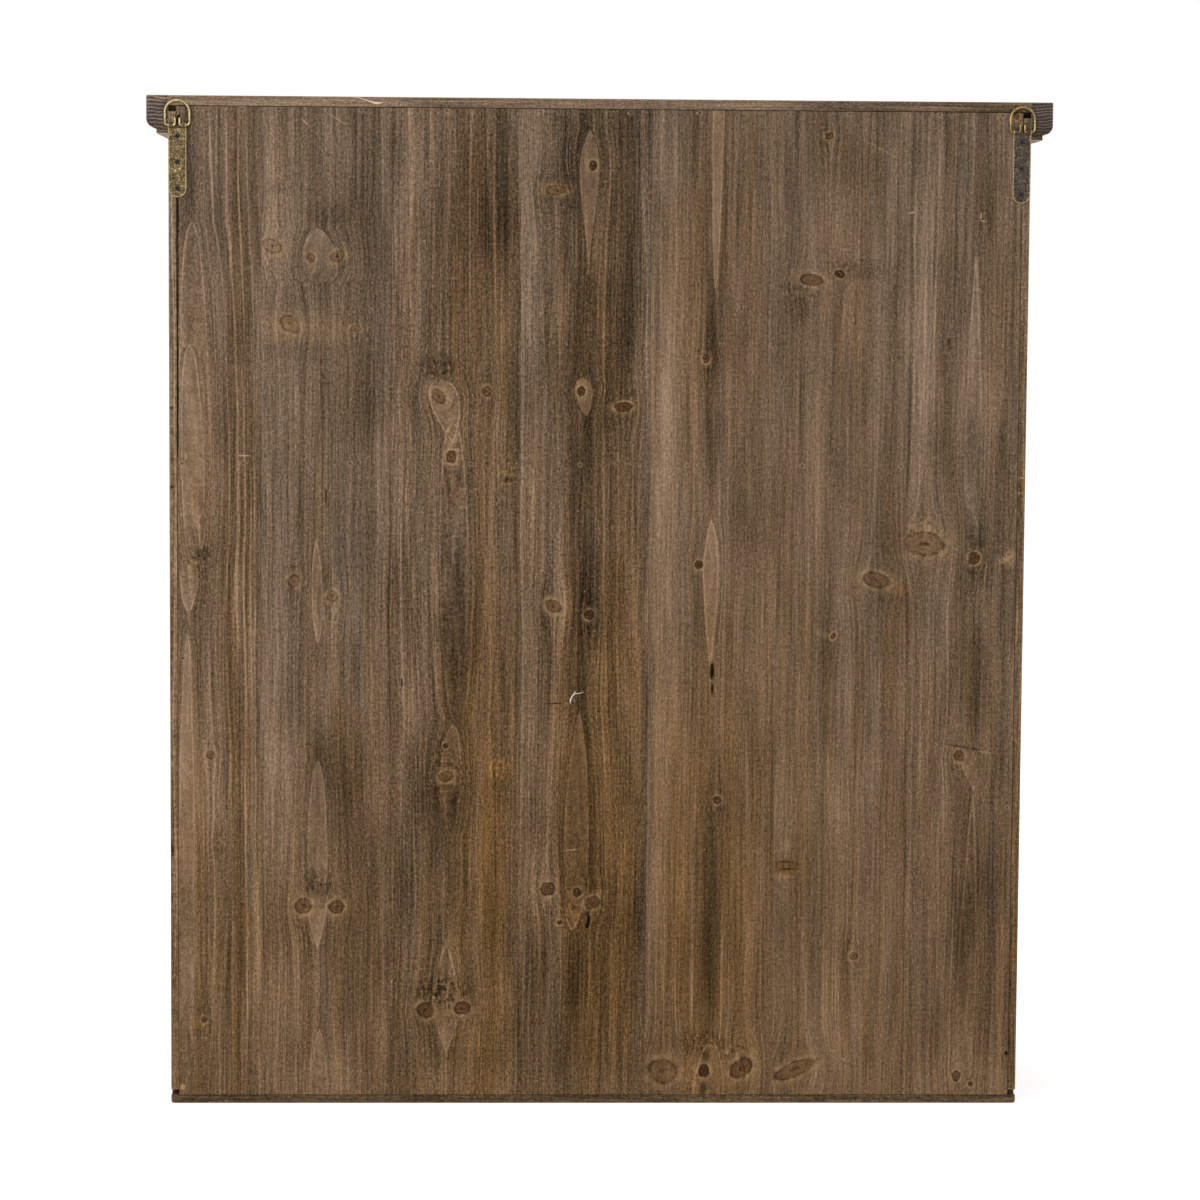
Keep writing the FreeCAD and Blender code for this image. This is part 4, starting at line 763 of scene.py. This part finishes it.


# Marks along the seen edges of the side boards: pixel place, half sizes in mm, tone and warmth. The darkest mark near
# the top of each is painted shadow behind a hanger's prongs.
SHADOWED_EDGE = [
    (1023, 485, 3.0, 8, -0.05, 1.5), (1022, 478, 2.0, 0.9, 0.4, 0.3), (1020, 493, 2.0, 0.9, 0.5, 0.2),
    (1021, 300, 1.0, 130, 0.15, 0.3), (1018, 700, 0.6, 260, 0.2, 0.2), (1023, 640, 1.0, 30, -0.3, 0.0),
    # (1022.8, 127) is painted shadow behind the hanger's prongs.
    (1022.8, 127, 1.3, 4.5, -1.4, 0.0),
]
WORN_AND_SHADED_EDGE = [
    (174.2, 320, 0.6, 260, 0.30, 0.1), (174.8, 800, 0.5, 230, 0.26, 0.1), (171, 408, 2.0, 0.9, -0.7, 0.0),
    # (176.6, 120) is painted shadow behind the hanger's prongs.
    (176.6, 120, 1.0, 5, -1.4, 0.0), (171, 487, 2.0, 0.9, -0.6, 0.0), (172, 850, 1.5, 6, -0.5, 0.0),
    (171, 700, 2.0, 200, -0.08, -0.2),
]
SIDE_BOARDS = (("side_board_left", 7.0, 0.46, SHADOWED_EDGE), ("side_board_right", 8.4, 0.56, WORN_AND_SHADED_EDGE))


def dress_case():
    board("top_board", Z, X, Y, 5.0, Look(0.60, 0.05, 0.10, 3.2),
          patches=[Patch(906, 290, 60, 130, 0.2, -0.3), Patch(906, -270, 60, 110, -0.3)])
    board("bottom_board", Z, X, Y, 6.5, Look(0.28, -0.2, 0.06, 3.4))
    for node, seed, tone, lines in SIDE_BOARDS:
        low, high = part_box(node)
        marks = []
        for x, y, rx, ry, shade, warm in lines:
            place = on_back(x, y)
            aside = (place.x - (low.x + high.x) / 2) * DEPTH_SHARE
            marks.append(Patch((BACK_Y + aside) / MM, place.z / MM, rx, ry, shade, warm))
        board(node, Y, Z, X, seed, Look(tone, 0.2, 0.12, 6.0),
              [Knot(20, 610, 7, 8, 10, 0.6), Knot(-40, 300, 9, 8, -15, 0.3), Knot(48, 150, 4, 5, 0, 0.8)],
              [Flame(-5, 560, 330, 14, 0.6, 0.7, 0.5), Flame(40, 780, 120, 8, 0.6, 0.8, 0.7)], marks)
    board("top_rail", Z, X, Y, 9.0, Look(0.47, 0.1, 0.2, 5.0))
    board("crown_front", Z, X, Y, 10.0, Look(0.45, 0.1, 0.25, 4.0), arris=0.4)
    for side, hand in (("left", -1), ("right", 1)):
        node = "crown_return_" + side
        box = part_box(node)
        heart = ((box[0].x + box[1].x) / 2 / MM, box[1].z / MM + 110)
        dress(node, end_grain(node + "_wood", heart, 0.05 * hand, 2.8 + 0.2 * hand, 12.0 + hand, box,
                              max(hand, 0), 0.08 * hand - 0.04), 0.35)
    for node, seed in (("fixed_shelf", 14.0), ("loose_shelf", 15.0)):
        board(node, Y, X, Z, seed, Look(0.50, 0.1, 0.2, 6.0),
              [Knot(10, -120, 7, 7, 0, 0.5), Knot(40, 150, 5, 6, 0, 0.7)])


def dress_doors():
    for side, hand in (("left", -1), ("right", 1)):
        base = 20.0 + 5 * hand
        prefix = "door_%s_" % side
        for number, part in enumerate(("hinge_stile", "lock_stile")):
            low, high = box_mm(prefix + part)
            middle = (low.x + high.x) / 2
            board(prefix + part, X, Z, Y, base + number, Look(0.46, 0.1, 0.22, 4.5),
                  [Knot(middle + 8 * hand, 560 - 190 * number, 5, 6, 0, 0.7)], arris=0.6)
        for number, part in enumerate(("bottom_rail", "middle_rail", "top_rail")):
            board(prefix + part, Z, X, Y, base + 3 + number, Look(0.45, 0.1, 0.22, 4.5))
        for number, part in enumerate(("lower_panel", "upper_panel")):
            low, high = box_mm(prefix + part)
            middle = (low.x + high.x) / 2
            level = (low.z + high.z) / 2
            lift = 60 * (1 - 2 * number) * hand
            # The panels' sunk bevels get painted shade, darker the deeper they go.
            board(prefix + part, X, Z, Y, base + 7 + number, Look(0.50, 0.1, 0.22, 7.0),
                  [Knot(middle - 22, level + lift, 8, 7, 12, 0.4), Knot(middle + 34, level - lift, 5, 6, 0, 0.8)],
                  [Flame(middle + 6, level + 130, 230, 13, 0.6, 0.8, 0.6)], arris=0.4, sunk=4.5)


def dress_hardware():
    for side in ("left", "right"):
        low, high = box_mm("hanger_strap_" + side)
        half = (high.x - low.x) / 2
        # The strap's outline, for its painted edge highlight
        rim = ((low.x + high.x) / 2, low.z + half, half)
        dress("hanger_strap_" + side,
              aged_brass("strap_brass_" + side, STRAP_BRASS[side], STRAP_SHARE[side], 1.0, rim, STRAP_EDGE_HIGHLIGHT[side]))
        dress("hanger_ring_" + side,
              aged_brass("ring_brass_" + side, RING_BRASS[side], 0.5, 2.0, roughness=0.34, metallic=0.9, grit=0.4))
        dress("knob_" + side, aged_brass("knob_brass_" + side, KNOB_BRASS, 0.4, 4.0, roughness=0.36))
        dress("knob_screw_" + side, plain_metal("knob_screw_zinc_" + side, colour(170, 168, 160), 5.0))
        dress("strike_plate_" + side, plain_metal("strike_zinc_" + side, colour(176, 174, 168), 6.0), 0.25)
        for level in ("lower", "upper"):
            for kind in ("frame", "door"):
                dress("hinge_%s_leaf_%s_%s" % (kind, side, level),
                      aged_brass("hinge_brass_%s_%s_%s" % (kind, side, level), HINGE_BRASS, 0.3, 8.0), 0.1)
        cross_screws("hinge_door_screws_" + side, aged_brass("screw_brass_" + side, HINGE_BRASS, 0.3, 9.0))
    cross_screws("hinge_frame_screws", aged_brass("screw_brass_frame", HINGE_BRASS, 0.3, 9.2))
    cross_screws("hanger_screws", plain_metal("blackened_steel", colour(30, 27, 25), 7.0, 0.5, 0.3))
    dress("hinge_pins", aged_brass("hinge_pin_brass", HINGE_BRASS, 0.5, 9.5))
    dress("shelf_pins", plain_metal("shelf_pin_steel", colour(150, 146, 136), 7.5), 0.2)
    dress("catch_case", brown_plastic(), 0.3)
    dress("catch_magnets", plain_metal("magnet_iron", colour(86, 86, 90), 7.7, 0.5, 0.6), 0.3)


# Screws with cross-recessed heads, each made where the part holds one

HEAD_SEGMENTS = 48
HEAD_RINGS = 12
DOME_SHARE = 0.10
RECESS_ARM_SHARE = 0.64
RECESS_HALF_SHARE = 0.16
RECESS_DEPTH_SHARE = 0.5
RECESS_TAPER = 0.35
RECESS_WALL = 0.06
RECESS_END = 0.18
SHANK_SHARE = 0.55
SHANK_END = 0.85
POINT_SHARE = 0.15
TURN_STEP = 37


def islands(node):
    """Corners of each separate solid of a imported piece."""
    mesh = bmesh.new()
    mesh.from_mesh(NODES[node].data)
    bmesh.ops.remove_doubles(mesh, verts=mesh.verts, dist=WELD_REACH)
    left = set(mesh.verts)
    found = []
    while left:
        group = [left.pop()]
        for vertex in group:
            for edge in vertex.link_edges:
                other = edge.other_vert(vertex)
                if other in left:
                    left.remove(other)
                    group.append(other)
        found.append([vertex.co.copy() for vertex in group])
    mesh.free()
    return sorted(found, key=lambda group: tuple(round(value, 5) for value in sum(group, Vector()) / len(group)))


def extent(points):
    low = Vector([min(point[axis] for point in points) for axis in range(3)])
    high = Vector([max(point[axis] for point in points) for axis in range(3)])
    return low, high


def screw_frame(points):
    """Head's middle, direction into the wood, head radius and length of one screw."""
    low, high = extent(points)
    size = high - low
    axis = max(range(3), key=lambda number: size[number])
    middle = (low + high) / 2
    across = [number for number in range(3) if number != axis]

    def aside(point):
        return Vector([point[number] - middle[number] for number in across]).length

    widest = max(points, key=aside)
    inward = Vector((0, 0, 0))
    inward[axis] = -1.0 if widest[axis] > middle[axis] else 1.0
    head = middle - inward * size[axis] / 2
    return head, inward, aside(widest), size[axis]


def recess_depth(x, y):
    """Depth of the cross recess at a place on a head of radius 1."""
    deepest = 0.0
    for far, near in ((abs(x), abs(y)), (abs(y), abs(x))):
        half = RECESS_HALF_SHARE * (1 - RECESS_TAPER * far / RECESS_ARM_SHARE)
        wall = max(0.0, min(1.0, (half - near) / RECESS_WALL))
        end = max(0.0, min(1.0, (RECESS_ARM_SHARE - far) / RECESS_END))
        deepest = max(deepest, wall * end)
    return deepest * RECESS_DEPTH_SHARE


def cross_screws(node, material):
    """Replaces the plain screws of a node by screws with a domed, cross-recessed head."""
    mesh = bmesh.new()
    for number, points in enumerate(islands(node)):
        head, inward, radius, length = screw_frame(points)
        first = inward.orthogonal().normalized()
        second = inward.cross(first)
        spin = Matrix.Rotation(math.radians(TURN_STEP * number % 90), 2)
        rings = []
        profile = [(share / HEAD_RINGS, None) for share in range(HEAD_RINGS + 1)]
        profile += [(SHANK_SHARE, radius * (1 - SHANK_SHARE) + radius * 0.1), (SHANK_SHARE, length * SHANK_END),
                    (POINT_SHARE, length)]
        for share, sunk in profile:
            ring = []
            for step in range(HEAD_SEGMENTS if share else 1):
                angle = 2 * math.pi * step / HEAD_SEGMENTS
                x, y = share * math.cos(angle), share * math.sin(angle)
                depth = radius * (DOME_SHARE * share * share + recess_depth(x, y)) if sunk is None else sunk
                flat = spin @ Vector((x, y))
                ring.append(mesh.verts.new(head + (first * flat.x + second * flat.y) * radius + inward * depth))
            rings.append(ring)
        close_rings(mesh, rings)
    piece = new_piece(node + "_crossed", mesh, material)
    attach(piece, body_of(node))
    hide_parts(node)


def close_rings(mesh, rings):
    """Faces from ring to ring, of which the first may be a single corner, and over the last one."""
    for near, far in zip(rings, rings[1:]):
        for step in range(len(far)):
            after = (step + 1) % len(far)
            corners = (near[step % len(near)], far[step], far[after], near[after % len(near)])
            mesh.faces.new(tuple(dict.fromkeys(corners)))
    mesh.faces.new(rings[-1][::-1])
    bmesh.ops.recalc_face_normals(mesh, faces=mesh.faces)


def new_piece(name, mesh, material):
    data = bpy.data.meshes.new(name)
    mesh.to_mesh(data)
    mesh.free()
    data.materials.append(material)
    data.shade_smooth()
    return add_object(name, data)


def body_of(node):
    return next(name for name, nodes in BODIES.items() if node in nodes)


# Torn fibres and fluff that lie on the back

STRAND_SIDES = 8


def strand(name, pixels, widths, rise, material):
    """A thin tapering fibre through places of the photograph, lying on the back. Widths and rise are in mm."""
    route = [on_back(*pixel) for pixel in pixels]
    mesh = bmesh.new()
    rings = []
    for number, place in enumerate(route):
        before = route[max(number - 1, 0)]
        after = route[min(number + 1, len(route) - 1)]
        ahead = (after - before).normalized()
        aside = ahead.cross(Vector(Y))
        half = widths[number] * MM / 2
        ring = []
        for step in range(STRAND_SIDES):
            angle = 2 * math.pi * step / STRAND_SIDES
            lift = max(0.0, math.sin(angle)) * rise[number] * MM
            ring.append(mesh.verts.new(place + aside * math.cos(angle) * half + Vector((0, lift, 0))))
        rings.append(ring)
    mesh.faces.new(rings[0])
    close_rings(mesh, rings)
    piece = new_piece(name, mesh, material)
    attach(piece, "carcass")


def fibre_material(name, shade, seed):
    paint = Paint(name)
    x, y, z = paint.axes()
    fine = paint.noise(x, z, y + seed, 1.4, 1.4, 2.0, 0.7)
    toned = paint.mix(fine.smooth(-1.0, 1.0) * 0.5, shade, darker(shade, 0.8))
    return paint.finish(toned, 0.8, fine, 0.0001, specular=0.1)


def lay_fibres():
    torn = fibre_material("torn_wood", colour(226, 208, 184), 1.0)
    strand("torn_splinter", [(353, 97.2), (360, 98.0), (367, 100.4), (373, 102.4), (380, 103.0), (384, 102.0)],
           [0.2, 0.6, 0.8, 1.1, 1.2, 0.2], [0.1, 0.3, 0.4, 0.5, 0.4, 0.1], torn)
    strand("torn_splinter_root", [(371, 102.4), (376, 103.6), (382, 103.4)], [0.4, 1.2, 0.3], [0.1, 0.4, 0.1], torn)
    fluff = fibre_material("white_fluff", colour(250, 247, 240), 2.0)
    strand("fluff_thread", [(570.2, 704.0), (570.4, 700.2), (571.6, 697.0), (573.4, 694.6), (575.6, 693.6),
                            (579.4, 693.4), (583.2, 692.0)],
           [0.6, 1.1, 0.9, 0.8, 0.6, 0.5, 0.3], [0.4, 0.7, 0.8, 0.8, 0.7, 0.6, 0.3], fluff)
    strand("fluff_tip", [(573.4, 694.6), (574.6, 692.4), (576.2, 690.8)], [0.7, 0.5, 0.3], [0.7, 0.6, 0.3], fluff)


# Floor, background and light

FLOOR_REACH = 60.0
FLOOR_GAP = 0.0002
FLOOR_SHADE = 0.8
FLOOR_LIFT = 0.62
WHITE = (1.0, 1.0, 1.0, 1.0)
AMBIENT = 0.62
LAMP_AIM = Vector((0, 0, 0.42))
# Name, place, power and size
LAMPS = [
    ("key_back_left", Vector((1.6, 2.6, 1.9)), 40.0, 0.9),
    ("key_back_right", Vector((-2.2, 2.4, 1.2)), 16.0, 1.8),
    ("key_front", Vector((2.1, -2.3, 1.8)), 40.0, 0.9),
]


def seen_directly(tree):
    """1 for rays from the camera, straight or by way of metal and glass, and 0 for light that falls on things."""
    path = tree.nodes.new("ShaderNodeLightPath")
    return reduce(Field.most, [Field(tree, path.outputs["Is %s Ray" % kind])
                               for kind in ("Camera", "Glossy", "Transmission")])


def make_stage():
    mesh = bpy.data.meshes.new("floor")
    corners = [(x * FLOOR_REACH, y * FLOOR_REACH, -FLOOR_GAP) for x, y in ((-1, -1), (1, -1), (1, 1), (-1, 1))]
    mesh.from_pydata(corners, [], [(0, 1, 2, 3)])
    floor = add_object("floor", mesh)
    material = bpy.data.materials.new("floor_white")
    tree = empty_tree(material)
    matt = made(tree, "ShaderNodeBsdfDiffuse", (FLOOR_SHADE, FLOOR_SHADE, FLOOR_SHADE, 1.0))
    glow = made(tree, "ShaderNodeEmission", WHITE, seen_directly(tree) * FLOOR_LIFT)
    output = tree.nodes.new("ShaderNodeOutputMaterial")
    feed(tree, output.inputs["Surface"], made(tree, "ShaderNodeAddShader", matt, glow))
    floor.data.materials.append(material)


def make_light():
    world = bpy.data.worlds.new("studio")
    bpy.context.scene.world = world
    tree = empty_tree(world)
    soft, white = (made(tree, "ShaderNodeBackground", WHITE, strength) for strength in (AMBIENT, 1.0))
    output = tree.nodes.new("ShaderNodeOutputWorld")
    feed(tree, output.inputs["Surface"], made(tree, "ShaderNodeMixShader", seen_directly(tree), soft, white))
    for name, place, power, size in LAMPS:
        data = bpy.data.lights.new(name, "AREA")
        data.energy = power
        data.size = size
        lamp = add_object(name, data)
        lamp.location = place
        lamp.rotation_euler = (LAMP_AIM - place).to_track_quat("-Z", "Y").to_euler()


BRADS = [sum(extent(points), Vector()) / 2 for points in islands("back_brads")]

make_camera()
make_stage()
make_light()
dress_back()
dress_case()
dress_doors()
dress_hardware()
lay_fibres()

bpy.context.scene.view_settings.view_transform = "Standard"
